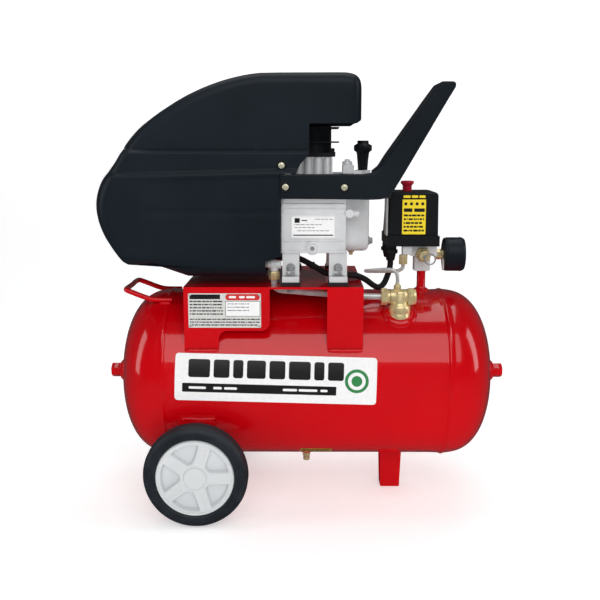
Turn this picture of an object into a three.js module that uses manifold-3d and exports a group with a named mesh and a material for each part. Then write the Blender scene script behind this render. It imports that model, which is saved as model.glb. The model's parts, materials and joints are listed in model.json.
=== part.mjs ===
// Direct-drive piston air compressor on a horizontal receiver with two wheels, a foot and a carrying handle.
// Millimetres, +Z up. The unit's length runs along X, its front (operator's) side faces -Y.
// The model is laid out about the receiver's own axis, and the whole is lifted so that it stands on Z = 0.
import * as THREE from 'three';
import { mergeVertices } from 'three/addons/utils/BufferGeometryUtils.js';
import Module from 'manifold-3d';

const wasm = await Module();
wasm.setup();

// ---------------------------------------------------------------- driving dimensions
const GAP = 0.3;                 // clearance between neighbouring pieces
const TANK_R = 123;              // receiver's outer radius
const TANK_WALL = 3;
const TANK_SIDES = 40;
const BARREL_HALF = 200;         // from the middle to each girth weld
const DOME_DEPTH = 78.5;
const DOME_POWER = 2.4;          // fullness of the end domes, 2 would be an ellipse
const PLUG_END = 18;             // how far the end plugs stand out of the domes
const AXIS_HEIGHT = 184.5;       // receiver's axis above the floor
const TAIL_X = -305.63;          // rear end of the motor shroud

const WHEEL_X = -153;
const WHEEL_Z = -112;
const WHEEL_R = AXIS_HEIGHT + WHEEL_Z;
const WHEEL_FACE = 160;          // outer side face of each tyre, from the centre plane
const TYRE_WIDTH = 34;
const HUB_R = 54;
const STUB_R = 6;
const WHEEL_SIDES = 26;

const FOOT_X = 129;
const FOOT_Y = 8;

const DECK_TOP = 145;            // top of the motor platform
const DECK_LEFT = -169.5;
const DECK_RIGHT = 78;
const DECK_HALF = 109;
const SHEET = 3;

const SHAFT_Z = 235;             // motor and crank axis
const PUMP_X = 9.5;              // cylinder axis
const THROW = 19;                // crank throw, so the stroke is 38
const CASE_LEFT = -35;
const CASE_RIGHT = 53.7;
const CASE_HALF = 85;
const CASE_BOTTOM = 189;
const CASE_TOP = 292;
const NECK_TOP = 320;
const CYLINDER_TOP = 371;
const BORE_R = 21.5;
const STATOR_R = 66;

const LEGS = [[-34, -10.5], [31, 56]];   // where the crankcase's feet start and end along X
const MOUNT_Y = 91;
const PAD_TOP = DECK_TOP + GAP + 4.5;
const MOUNTS = LEGS.flatMap(([x0, x1]) => [-MOUNT_Y, MOUNT_Y].map((y) => [(x0 + x1) / 2, y]));

const RISER_X = 170.5;
const RISER_TOP = 153.7;
const GAUGE_Z = 177.5;
const VALVE_X = 131.8;           // check valve
const VALVE_Y = -70;
const VALVE_Z = 125.5;
const TUBE_R = 4.5;              // discharge line
const BLEED_R = 2;
const LEAD_R = 3.5;              // motor lead
const ELBOW_X = -46;
const ELBOW_Y = -75;

// ---------------------------------------------------------------- finishes
const finish = (color, roughness, metalness) => (
  new THREE.MeshStandardMaterial({ color, roughness, metalness }));
const redPaint = () => finish(0xc80014, 0.25, 0.1);
const charcoal = () => finish(0x232a32, 0.55, 0);
const blackPlastic = () => finish(0x17181b, 0.5, 0);
const rubber = () => finish(0x141416, 0.85, 0);
const greyPlastic = () => finish(0xc4c6c8, 0.5, 0);
const castAluminium = () => finish(0xc2c6ca, 0.45, 0.8);
const aluminium = () => finish(0xd0d2d4, 0.3, 0.9);
const brass = () => finish(0xb8923a, 0.3, 0.9);
const steel = () => finish(0x9a9da1, 0.35, 0.9);
const blackIron = () => finish(0x101215, 0.6, 0.3);
const knobRed = () => finish(0xc01530, 0.35, 0);

// ---------------------------------------------------------------- geometry helpers
const solid = (geometry) => {
  const bare = geometry.clone();
  bare.deleteAttribute('normal');
  bare.deleteAttribute('uv');
  const merged = mergeVertices(bare, 1e-4);
  return new wasm.Manifold(new wasm.Mesh({
    numProp: 3,
    vertProperties: Float32Array.from(merged.attributes.position.array),
    triVerts: Uint32Array.from(merged.index.array),
  }));
};

const geometryOf = (manifold) => {
  const mesh = manifold.getMesh();
  const geometry = new THREE.BufferGeometry();
  geometry.setAttribute('position', new THREE.BufferAttribute(mesh.vertProperties, mesh.numProp));
  geometry.setIndex(new THREE.BufferAttribute(mesh.triVerts, 1));
  geometry.computeVertexNormals();
  return geometry;
};

const join = (...parts) => parts.map(solid).reduce((whole, next) => whole.add(next));
const cut = (whole, ...tools) => tools.map(solid).reduce((rest, tool) => rest.subtract(tool), whole);

const box = (x0, x1, y0, y1, z0, z1) => new THREE.BoxGeometry(x1 - x0, y1 - y0, z1 - z0)
  .translate((x0 + x1) / 2, (y0 + y1) / 2, (z0 + z1) / 2);

// Turns a shape made about +Y so that it lies along the named axis.
const along = (geometry, axis) => {
  if (axis === 'x') return geometry.rotateZ(-Math.PI / 2);
  if (axis === 'z') return geometry.rotateX(Math.PI / 2);
  return geometry;
};

// A round or many-sided bar from one place on an axis to another, centred on (a, b) of the other two axes.
const bar = (axis, radius, from, to, a, b, sides = 16, radiusEnd = radius) => {
  const low = Math.min(from, to);
  const high = Math.max(from, to);
  const [rLow, rHigh] = from < to ? [radius, radiusEnd] : [radiusEnd, radius];
  const g = along(new THREE.CylinderGeometry(rHigh, rLow, high - low, sides), axis);
  const middle = (low + high) / 2;
  if (axis === 'x') return g.translate(middle, a, b);
  return axis === 'y' ? g.translate(a, middle, b) : g.translate(a, b, middle);
};

// Revolves [radius, distance] pairs about an axis; the profile ends on the axis or is closed here.
const turned = (profile, axis, sides = 24) => {
  const points = profile.map(([r, d]) => new THREE.Vector2(r, d));
  if (profile[0][0] > 0) points.push(points[0].clone());
  return along(new THREE.LatheGeometry(points, sides), axis);
};

// Extrudes an outline drawn in X and Z from y0 to y1, with optional rounded long edges.
const slab = (shape, y0, y1, round = 0, shrink = 0) => {
  const depth = y1 - y0 - 2 * round - 2 * shrink;
  const g = new THREE.ExtrudeGeometry(shape, {
    depth, steps: 1, curveSegments: 4, bevelEnabled: round > 0, bevelThickness: round, bevelSize: round,
    bevelOffset: -round - shrink, bevelSegments: 3,
  });
  return g.rotateX(Math.PI / 2).translate(0, y1 - round - shrink, 0);
};

const outline = (points) => new THREE.Shape(points.map(([x, z]) => new THREE.Vector2(x, z)));

const tube = (points, radius, sides, steps) => {
  const curve = new THREE.CatmullRomCurve3(points.map((p) => new THREE.Vector3(...p)), false, 'centripetal');
  const section = new THREE.Shape();
  section.absarc(0, 0, radius, 0, 2 * Math.PI, false);
  const round = new THREE.Shape(section.getSpacedPoints(sides).slice(0, sides));
  return new THREE.ExtrudeGeometry(round, { steps, extrudePath: curve, bevelEnabled: false });
};

const tankCylinder = (radius = TANK_R + GAP) => bar('x', radius, -400, 400, 0, 0, TANK_SIDES);

const piece = (group, name, shape, material) => {
  const mesh = new THREE.Mesh(shape.isBufferGeometry ? shape : geometryOf(shape), material);
  mesh.name = name;
  group.add(mesh);
  return mesh;
};

// ---------------------------------------------------------------- receiver
const domeProfile = (radius, depth, toRadius) => {
  const points = [];
  const steps = 5;
  for (let i = 0; i <= steps; i += 1) {
    const angle = (i / steps) * (Math.PI / 2);
    const r = radius * Math.cos(angle) ** (2 / DOME_POWER);
    points.push([Math.max(r, toRadius), depth * Math.sin(angle) ** (2 / DOME_POWER)]);
  }
  return points;
};

const dome = () => {
  const bore = 7;
  const outer = domeProfile(TANK_R, DOME_DEPTH, bore);
  const inner = domeProfile(TANK_R - TANK_WALL, DOME_DEPTH - TANK_WALL, bore).reverse();
  const bungFace = DOME_DEPTH + 2.8;
  const bung = turned([[bore, DOME_DEPTH - 8], [11, DOME_DEPTH - 8], [18.7, DOME_DEPTH - 1], [18.7, bungFace],
    [bore, bungFace]], 'x', 14);
  return join(turned([...outer, ...inner], 'x', 28), bung);
};

const endPlug = () => {
  const face = DOME_DEPTH + 2.8 + GAP;
  const head = bar('x', 9.8, face, DOME_DEPTH + PLUG_END, 0, 0, 6);
  return join(head, bar('x', 6.6, DOME_DEPTH - 6, face + 1, 0, 0));
};

const barrel = () => {
  const shell = turned([[TANK_R - TANK_WALL, -BARREL_HALF + 0.15], [TANK_R, -BARREL_HALF + 0.15],
    [TANK_R, BARREL_HALF - 0.15], [TANK_R - TANK_WALL, BARREL_HALF - 0.15]], 'x', TANK_SIDES);
  const tilt = Math.asin(-VALVE_Y / TANK_R);
  const pad = turned([[0, TANK_R - 2], [22, TANK_R - 2], [22, TANK_R + 1], [17, TANK_R + 3.5],
    [0, TANK_R + 3.5]], 'z', 20).rotateX(tilt).translate(VALVE_X, 0, 0);
  const drainBoss = bar('z', 9, -TANK_R - 6.5, -TANK_R + 2, 0, 0, 16, 12.5);
  const padBore = bar('z', 7, TANK_R - 12, TANK_R + 12, 0, 0).rotateX(tilt).translate(VALVE_X, 0, 0);
  return cut(join(shell, pad, drainBoss), padBore, bar('z', 4.5, TANK_R - 12, TANK_R + 9, RISER_X, 0),
    bar('z', 3.2, -TANK_R - 9, -TANK_R + 12, 0, 0));
};

const handleLoop = () => {
  const half = 50;
  const rest = 116.8;
  const side = (y) => [[-194, y, rest], [-212, y, rest], [-223, y, rest + 1], [-232, y, rest + 3.5]];
  const corner = (y) => [[-252, y, 128], [-259, y * 0.97, 130.6], [-261.4, y * 0.86, 131]];
  return tube([...side(-half), ...corner(-half), [-261.5, 0, 131], ...corner(half).reverse(),
    ...side(half).reverse()], 3.75, 8, 28);
};

const deck = () => {
  const skirt = new THREE.Shape();
  const panelRight = -51;
  const panelBottom = 84;
  const legRight = -121.5;
  const legBottom = 57.5;
  const r = 12;
  skirt.moveTo(DECK_LEFT, legBottom);
  skirt.lineTo(legRight, legBottom);
  skirt.lineTo(legRight, panelBottom - r);
  skirt.absarc(legRight + r, panelBottom - r, r, Math.PI, Math.PI / 2, true);
  skirt.lineTo(panelRight - r, panelBottom);
  skirt.absarc(panelRight - r, panelBottom + r, r, -Math.PI / 2, 0, false);
  skirt.lineTo(panelRight, DECK_TOP);
  skirt.lineTo(DECK_LEFT, DECK_TOP);
  const legs = [];
  for (const y of [-DECK_HALF, DECK_HALF - SHEET]) {
    legs.push(slab(skirt, y, y + SHEET), box(28, DECK_RIGHT, y, y + SHEET, legBottom, DECK_TOP));
  }
  const top = box(DECK_LEFT, DECK_RIGHT, -DECK_HALF, DECK_HALF, DECK_TOP - SHEET, DECK_TOP);
  const holes = MOUNTS.map(([x, y]) => bar('z', 4.5, DECK_TOP - 9, DECK_TOP + 9, x, y));
  return cut(join(top, ...legs), tankCylinder(), bar('z', 9, DECK_TOP - 9, DECK_TOP + 9, ELBOW_X, ELBOW_Y),
    ...holes);
};

const footBracket = () => {
  const floor = -AXIS_HEIGHT;
  const outer = outline([[-26, -95], [-14, floor], [14, floor], [26, -95]]);
  const inner = outline([[-23, -95], [-11.4, floor + SHEET], [11.4, floor + SHEET], [23, -95]]);
  const strap = cut(solid(slab(outer, -16.5, 16.5)), slab(inner, -20, 20));
  const g = geometryOf(strap).rotateZ(Math.PI / 2);
  const p = g.attributes.position;
  for (let i = 0; i < p.count; i += 1) {
    const drop = Math.max(0, -p.getZ(i) - 118) / (AXIS_HEIGHT - 118);
    p.setX(i, p.getX(i) * (1 - 0.12 * drop));
  }
  return cut(solid(g.translate(FOOT_X, FOOT_Y, 0)), tankCylinder());
};

const tankGroup = () => {
  const group = new THREE.Group();
  piece(group, 'tank_barrel', barrel(), redPaint());
  for (const [name, plugName, turn] of [['tank_dome_left', 'plug_left', Math.PI],
    ['tank_dome_right', 'plug_right', 0]]) {
    const end = new THREE.Group();
    end.rotation.z = turn;
    const seat = new THREE.Group();
    seat.position.x = BARREL_HALF + 0.15;
    end.add(seat);
    piece(seat, name, dome(), redPaint());
    piece(seat, plugName, endPlug(), redPaint());
    group.add(end);
  }
  piece(group, 'tank_handle', handleLoop(), redPaint());
  piece(group, 'motor_platform', deck(), redPaint());
  piece(group, 'foot_bracket', footBracket(), redPaint());
  const drainFace = -TANK_R - 6.5 - GAP;
  piece(group, 'drain_body', cut(solid(bar('z', 6, drainFace - 7, drainFace, 0, 0, 6)),
    bar('z', 2.6, drainFace - 9, drainFace - 1.5, 0, 0)), brass());
  const screwTop = drainFace - 7 - GAP;
  piece(group, 'drain_screw', join(bar('z', 5, screwTop - 6.5, screwTop, 0, 0, 20),
    bar('z', 2.2, screwTop - 1, screwTop + 4.5, 0, 0)), brass());
  return group;
};

// ---------------------------------------------------------------- wheels
const axleBracket = () => {
  const plate = 124;
  const left = WHEEL_X - 25;
  const right = WHEEL_X + 25;
  const channel = cut(solid(box(left, right, 56, plate, WHEEL_Z - 20, -42)),
    box(left + SHEET, right - SHEET, 50, plate - SHEET, WHEEL_Z - 30, -42 - SHEET), tankCylinder());
  return channel.add(solid(bar('y', STUB_R, plate - 8, WHEEL_FACE - 8, WHEEL_X, WHEEL_Z)));
};

// Tyre and hub are turned about their own axle, with the outer side of the wheel towards +Y.
const tyre = () => {
  const half = TYRE_WIDTH / 2;
  return turned([[HUB_R + GAP, -half + 5], [HUB_R + 6, -half], [WHEEL_R - 5, -half], [WHEEL_R - 1, -half + 4],
    [WHEEL_R, -half + 8], [WHEEL_R, half - 8], [WHEEL_R - 1, half - 4], [WHEEL_R - 5, half],
    [HUB_R + 6, half], [HUB_R + GAP, half - 2]], 'y', WHEEL_SIDES);
};

const hub = () => {
  const half = TYRE_WIDTH / 2;
  const bore = STUB_R + 0.2;
  const disc = turned([[bore, -half + 1], [14, -half + 1], [14, -2], [46, -2], [46, -half + 6],
    [HUB_R, -half + 6],
    [HUB_R, half - 3], [47, half - 3], [45, half - 6], [18, half - 6], [14, half], [0, half], [0, half - 5],
    [bore, half - 5]], 'y', WHEEL_SIDES);
  const pockets = [];
  for (let i = 0; i < 5; i += 1) {
    const pocket = new THREE.Shape();
    const spread = THREE.MathUtils.degToRad(22);
    pocket.absarc(0, 0, 43, -spread, spread, false);
    pocket.absarc(0, 0, 21, spread * 0.75, -spread * 0.75, true);
    pockets.push(slab(pocket, 1.5, half + 4).rotateY(THREE.MathUtils.degToRad(-36 + 72 * i)));
  }
  return cut(solid(disc), ...pockets);
};

const wheelGroup = (name, side) => {
  const group = new THREE.Group();
  group.position.set(WHEEL_X, side * (WHEEL_FACE - TYRE_WIDTH / 2), WHEEL_Z);
  group.rotation.z = side < 0 ? Math.PI : 0;
  piece(group, `tyre_${name}`, tyre(), rubber());
  piece(group, `hub_${name}`, hub(), greyPlastic());
  return group;
};

const bracketGroup = (name, side) => {
  const group = new THREE.Group();
  group.position.x = side < 0 ? 2 * WHEEL_X : 0;
  group.rotation.z = side < 0 ? Math.PI : 0;
  piece(group, `axle_bracket_${name}`, axleBracket(), redPaint());
  return group;
};

// ---------------------------------------------------------------- pump and motor
const crankcase = () => {
  const profile = outline([[-CASE_HALF, CASE_BOTTOM], [CASE_HALF, CASE_BOTTOM], [CASE_HALF, CASE_TOP - 8],
    [CASE_HALF - 8, CASE_TOP], [-CASE_HALF + 8, CASE_TOP], [-CASE_HALF, CASE_TOP - 8]]);
  const body = slab(profile, -CASE_RIGHT, -CASE_LEFT).rotateZ(Math.PI / 2);
  const legs = LEGS.flatMap(([x0, x1]) => [-1, 1].flatMap((side) => {
    const wall = [side * (CASE_HALF - 2), side * (CASE_HALF - 13)].sort((a, b) => a - b);
    const foot = [side * (MOUNT_Y + 8), side * (CASE_HALF - 13)].sort((a, b) => a - b);
    return [box(x0, x1, ...wall, PAD_TOP + GAP, CASE_BOTTOM + 1),
      box(x0, x1, ...foot, PAD_TOP + GAP, PAD_TOP + 8)];
  }));
  const neck = box(PUMP_X - 27, PUMP_X + 27, -31, 31, CASE_TOP - 1, NECK_TOP);
  const flange = box(CASE_LEFT + 12, CASE_RIGHT, -62, 62, CASE_TOP - 1, CASE_TOP + 4.5);
  const spigot = turned([[60, -52], [STATOR_R + 2, -52], [STATOR_R + 2, CASE_LEFT + 1], [60, CASE_LEFT + 1]],
    'x', 24).translate(0, 0, SHAFT_Z);
  const holes = MOUNTS.map(([x, y]) => bar('z', 4.5, PAD_TOP - 9, PAD_TOP + 19, x, y));
  const shaftLine = (r, x0, x1, sides) => bar('x', r, x0, x1, 0, SHAFT_Z, sides);
  return cut(join(body, ...legs, neck, flange, spigot), shaftLine(48, -7, CASE_RIGHT + 9, 28),
    shaftLine(23.8, -22.3, -1, 24), shaftLine(12, CASE_LEFT - 9, -15, 16),
    bar('z', 24, SHAFT_Z, NECK_TOP + 9, PUMP_X, 0, 24), ...holes);
};

const crankcaseCover = () => {
  const left = CASE_RIGHT + GAP;
  const right = 88;
  const half = 60;
  const shape = (shrink) => {
    const s = new THREE.Shape();
    const h = half - shrink;
    const z0 = CASE_BOTTOM - 1 + shrink;
    const z1 = CASE_TOP + 4 - shrink;
    const r = 14;
    s.moveTo(-h + r, z0);
    s.absarc(h - r, z0 + r, r, -Math.PI / 2, 0, false);
    s.absarc(h - r, z1 - r, r, 0, Math.PI / 2, false);
    s.absarc(-h + r, z1 - r, r, Math.PI / 2, Math.PI, false);
    s.absarc(-h + r, z0 + r, r, Math.PI, 1.5 * Math.PI, false);
    return s;
  };
  const shell = slab(shape(0), -right, -left + 8, 8).rotateZ(Math.PI / 2);
  const hollow = slab(shape(5), -right + 5, -left + 9).rotateZ(Math.PI / 2);
  const seat = bar('z', 11, CASE_TOP + 1, CASE_TOP + 9, 81.5, 0);
  return cut(join(shell, seat), hollow, box(0, left, -90, 90, 100, 400));
};

const cylinder = () => {
  const fins = [341, 361].map((z) => box(PUMP_X - 36, PUMP_X + 36, -36, 36, z - 1, z + 1));
  const flanges = [[NECK_TOP + GAP, NECK_TOP + 6], [CYLINDER_TOP - 5, CYLINDER_TOP]]
    .map(([z0, z1]) => box(PUMP_X - 31, PUMP_X + 31, -31, 31, z0, z1));
  const barrelTube = bar('z', 26, NECK_TOP + GAP, CYLINDER_TOP, PUMP_X, 0, 24);
  return cut(join(barrelTube, ...fins, ...flanges), bar('z', BORE_R + 0.2, 300, 400, PUMP_X, 0, 24));
};

const cylinderHead = () => {
  const base = CYLINDER_TOP + GAP;
  const block = box(PUMP_X - 32, PUMP_X + 32, -32, 32, base, base + 31);
  const slots = [-24, -12, 0, 12, 24].map((y) => box(-60, 80, y - 3.5, y + 3.5, base + 13, base + 40));
  return cut(solid(block), ...slots);
};

const WEB_FACE = 4;              // side of the crank's web that faces the rod
const crankshaft = () => {
  const web = bar('x', 27, -5.5, WEB_FACE, 0, SHAFT_Z, 24);
  const weight = cut(solid(bar('x', 44, -5.5, WEB_FACE, 0, SHAFT_Z, 24)),
    box(-20, 20, -60, 60, SHAFT_Z - 8, SHAFT_Z + 60));
  return join(web, bar('x', 10, -216, -5, 0, SHAFT_Z)).add(weight);
};

const PISTON_PIN_Z = CYLINDER_TOP - 21;

// The rod carries the crank pin, so that the crank can turn while the rod stays at top dead centre.
const connectingRod = () => {
  const pinZ = SHAFT_Z + THROW;
  const beam = box(PUMP_X - 5, PUMP_X + 5, -6, 6, pinZ + 10, PISTON_PIN_Z - 6);
  const bigEnd = bar('x', 15, PUMP_X - 4.2, PUMP_X + 10, 0, pinZ);
  const smallEnd = bar('x', 9, PUMP_X - 7, PUMP_X + 7, 0, PISTON_PIN_Z);
  const crankPin = bar('x', 8, WEB_FACE + 2 * GAP, PUMP_X + 20, 0, pinZ);
  return cut(join(bigEnd, beam, smallEnd, crankPin),
    bar('x', 5.3, PUMP_X - 20, PUMP_X + 20, 0, PISTON_PIN_Z));
};

const piston = () => {
  const crown = CYLINDER_TOP - 0.5;
  const skirt = cut(solid(bar('z', BORE_R - 0.1, crown - 34, crown, PUMP_X, 0, 24)),
    bar('z', BORE_R - 4, crown - 40, crown - 6, PUMP_X, 0, 24));
  return skirt.add(solid(bar('x', 5, PUMP_X - BORE_R + 2, PUMP_X + BORE_R - 2, 0, PISTON_PIN_Z, 20)));
};

const ring = (outer, inner, x0, x1, sides = 24) => (
  turned([[inner, x0], [outer, x0], [outer, x1], [inner, x1]], 'x', sides).translate(0, 0, SHAFT_Z));

const FAN_X = -196;
const fan = () => {
  const hubPart = bar('x', 16, FAN_X - 10, FAN_X + 10, 0, SHAFT_Z);
  const blades = [];
  for (let i = 0; i < 7; i += 1) {
    const blade = new THREE.BoxGeometry(20, 2, 46).rotateZ(0.6).translate(0, 0, 36);
    blades.push(blade.rotateX((i * 2 * Math.PI) / 7).translate(FAN_X, 0, SHAFT_Z));
  }
  return cut(join(hubPart, ...blades), bar('x', 10.3, FAN_X - 20, FAN_X + 20, 0, SHAFT_Z));
};

const endBell = () => {
  const disc = turned([[18, -158], [24, -158], [24, -150], [STATOR_R, -146], [STATOR_R, -128.3], [61, -128.3],
    [61, -142], [18, -146]], 'x', 20);
  return disc.translate(0, 0, SHAFT_Z);
};

const BELT_TOP = 331;
const shroudLower = () => {
  const s = new THREE.Shape();
  s.moveTo(60, 156);
  s.lineTo(60, 360);
  s.lineTo(-272, 360);
  s.lineTo(-272, BELT_TOP);
  s.lineTo(-287, 296);
  s.bezierCurveTo(-312.7, 272, -310, 240, -290, 200);
  s.lineTo(-275, 176);
  s.lineTo(-268, 170);
  s.lineTo(-260, 168);
  s.lineTo(-223, 168);
  s.lineTo(-180, 157);
  const half = 100;
  const wall = 3;
  const keep = outline([[-400, 100], [-57, 100], [-57, 179], [CASE_LEFT - 1, 186],
    [CASE_LEFT - 1, 298.3], [-15, 298.3], [-9, 311], [3, 325], [3, BELT_TOP], [-400, BELT_TOP]]);
  const shell = cut(solid(slab(s, -half, half, 16)), slab(s, -half, half, 16, wall));
  const slots = [];
  for (let i = -3; i <= 3; i += 1) slots.push(box(-252, -228, i * 20 - 5, i * 20 + 5, 150, 185));
  return cut(shell.intersect(solid(slab(keep, -200, 200))), ...slots);
};

const shroudUpper = () => {
  const s = new THREE.Shape();
  s.moveTo(74, 290);
  s.lineTo(74, 410);
  s.lineTo(72.5, 421);
  s.lineTo(66, 430);
  s.lineTo(52, 434.5);
  s.lineTo(-64, 434.5);
  s.bezierCurveTo(-150, 434.5, -232, 368, -258, BELT_TOP);
  s.lineTo(-286, 290);
  const half = 88;
  const wall = 3;
  const low = BELT_TOP + GAP;
  const eaves = 370;
  const keep = outline([[-400, low], [3, low], [3, eaves], [67, eaves], [76, eaves + 6], [120, eaves + 6],
    [120, 500], [-400, 500]]);
  const shell = cut(solid(slab(s, -half, half, 15)), slab(s, -half, half, 15, wall));
  return shell.intersect(solid(slab(keep, -200, 200)));
};

const carryingHandle = () => {
  const s = new THREE.Shape();
  s.moveTo(CASE_LEFT - 0.7, 265);
  s.lineTo(95, 264);
  s.quadraticCurveTo(109, 264, 117, 278);
  s.lineTo(184.5, 395);
  s.lineTo(196.5, 413);
  s.quadraticCurveTo(198, 419, 192, 419.5);
  s.lineTo(179, 419.5);
  s.lineTo(164.5, 399.6);
  s.lineTo(110, 322);
  s.quadraticCurveTo(97, 298, 76, 297.8);
  s.lineTo(CASE_LEFT - 0.7, 297.8);
  const face = -105;
  const inner = -20;
  const web = outline([[92, 300.5], [101, 307.5], [110, 322], [164.5, 399.6], [179, 419.5], [184, 416],
    [169, 396],
    [115, 319], [105, 303], [94, 297.5]]);
  const grip = outline([[160, 393.2], [179, 419.5], [192, 419.5], [196.5, 413], [181, 389]]);
  const lip = outline([[104, 311], [110, 322], [164.5, 399.6], [179, 389], [122, 309], [114, 300]]);
  return join(slab(s, face, -CASE_HALF - GAP, 2), slab(web, -CASE_HALF - 2, inner),
    slab(grip, -CASE_HALF - 2, inner), slab(lip, inner - 4, inner));
};

const pumpGroup = () => {
  const group = new THREE.Group();
  piece(group, 'crankcase', crankcase(), castAluminium());
  piece(group, 'crankcase_cover', crankcaseCover(), castAluminium());
  piece(group, 'cylinder', cylinder(), blackIron());
  piece(group, 'cylinder_head', cylinderHead(), castAluminium());
  piece(group, 'crankshaft', crankshaft(), steel());
  piece(group, 'connecting_rod', connectingRod(), aluminium());
  piece(group, 'piston', piston(), aluminium());
  piece(group, 'bearing_drive', ring(23.5, 10.2, -22, -8.5), steel());
  piece(group, 'bearing_fan', ring(17.5, 10.2, -157.5, -146.5), steel());
  piece(group, 'rotor_core', ring(35.4, 10.3, -126, -54), steel());
  piece(group, 'stator_core', ring(STATOR_R, 36, -128, -52.3, 28), steel());
  piece(group, 'end_bell', endBell(), castAluminium());
  piece(group, 'cooling_fan', fan(), blackPlastic());
  piece(group, 'capacitor', bar('x', 19, -225, -155, 62, 306), blackPlastic());
  piece(group, 'shroud_lower', shroudLower(), charcoal());
  piece(group, 'shroud_upper', shroudUpper(), charcoal());
  piece(group, 'carrying_handle', carryingHandle(), blackPlastic());
  const breatherBase = CASE_TOP + 9 + GAP;
  const breather = new THREE.Group();
  breather.position.set(81.5, 0, breatherBase);
  piece(breather, 'breather_cap', turned([[0, 0], [7, 0], [9, 24], [12.9, 29], [12.9, 35], [8, 38], [8, 42],
    [0, 42]], 'z', 18), blackPlastic());
  group.add(breather);
  MOUNTS.forEach(([x, y], i) => {
    const pad = cut(solid(box(x - 14, x + 14, y - 11, y + 10, DECK_TOP + GAP, PAD_TOP)),
      bar('z', 4.5, DECK_TOP - 5, PAD_TOP + 5, x, y));
    piece(group, `rubber_mount_${i + 1}`, pad, rubber());
  });
  return group;
};

// ---------------------------------------------------------------- air lines and fittings
const linesGroup = () => {
  const group = new THREE.Group();
  const tilt = Math.asin(-VALVE_Y / TANK_R);
  const padFace = TANK_R + 3.5 + GAP;
  const belowPad = bar('z', 60, 40, padFace, 0, 0, 8).rotateX(tilt).translate(VALVE_X, 0, 0);
  const valveBody = cut(join(bar('z', 14.2, 92, 111.5, VALVE_X, VALVE_Y, 18),
    bar('z', 14.2, 111.5, 115, VALVE_X, VALVE_Y, 18, 10.5), bar('z', 10.5, 114.5, 134, VALVE_X, VALVE_Y, 18),
    bar('x', 9.5, 118.4, 142, VALVE_Y, VALVE_Z, 18)), belowPad);
  piece(group, 'check_valve_body', valveBody, brass());
  piece(group, 'check_valve_cap', bar('x', 10.2, 142 + GAP, 153.5, VALVE_Y, VALVE_Z, 6), brass());
  piece(group, 'inlet_nut', cut(solid(bar('x', 10.6, 105, 118.1, VALVE_Y, VALVE_Z, 6)),
    bar('x', TUBE_R + GAP, 100, 116.5, VALVE_Y, VALVE_Z)), brass());
  piece(group, 'discharge_tube', tube([[ELBOW_X, ELBOW_Y, 161], [ELBOW_X, ELBOW_Y, 149], [-45, ELBOW_Y, 141],
    [-38, -74.5, 136], [-20, -73, 134], [29, -71, 129.5], [81, VALVE_Y, 126], [98, VALVE_Y, VALVE_Z],
    [116, VALVE_Y, VALVE_Z]], TUBE_R, 8, 26), aluminium());
  piece(group, 'discharge_elbow', cut(join(bar('x', 5.5, -54, CASE_LEFT - GAP, ELBOW_Y, 172),
    bar('z', 5.5, 160, 172, ELBOW_X, ELBOW_Y), bar('z', 7.6, 150.5, 163.5, ELBOW_X, ELBOW_Y, 6)),
  bar('z', TUBE_R + GAP, 145, 161.3, ELBOW_X, ELBOW_Y)), castAluminium());
  piece(group, 'head_pipe', tube([[-54.3, ELBOW_Y, 172], [-60, ELBOW_Y, 172], [-67, ELBOW_Y, 176],
    [-70, ELBOW_Y, 186], [-70, ELBOW_Y, 240], [-70, ELBOW_Y, 300], [-68, -70, 330], [-60, -55, 362],
    [-48, -35, 383], [-36, -22, 387], [-23, -20, 387]], TUBE_R, 8, 22), aluminium());
  piece(group, 'bleed_tube', tube([[128, VALVE_Y, 135.6], [128, VALVE_Y, 152], [126.5, -69.5, 159],
    [120, -68, 163.4],
    [105, -63, 163], [91, -58, 161], [84.5, -51, 159.5], [91, -44, 158], [115, -38, 157.2], [133, -34, 157.5],
    [139.5, -30.5, 161.5], [140, -30, 169]], BLEED_R, 6, 38), aluminium());
  const riser = turned([[3.5, TANK_R - 4], [11, TANK_R - 4], [10, TANK_R + 3], [6.3, TANK_R + 8],
    [6.3, RISER_TOP],
    [3.5, RISER_TOP]], 'z', 18).translate(RISER_X, 0, 0);
  piece(group, 'riser_pipe', cut(solid(riser), tankCylinder()), redPaint());
  return group;
};

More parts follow.
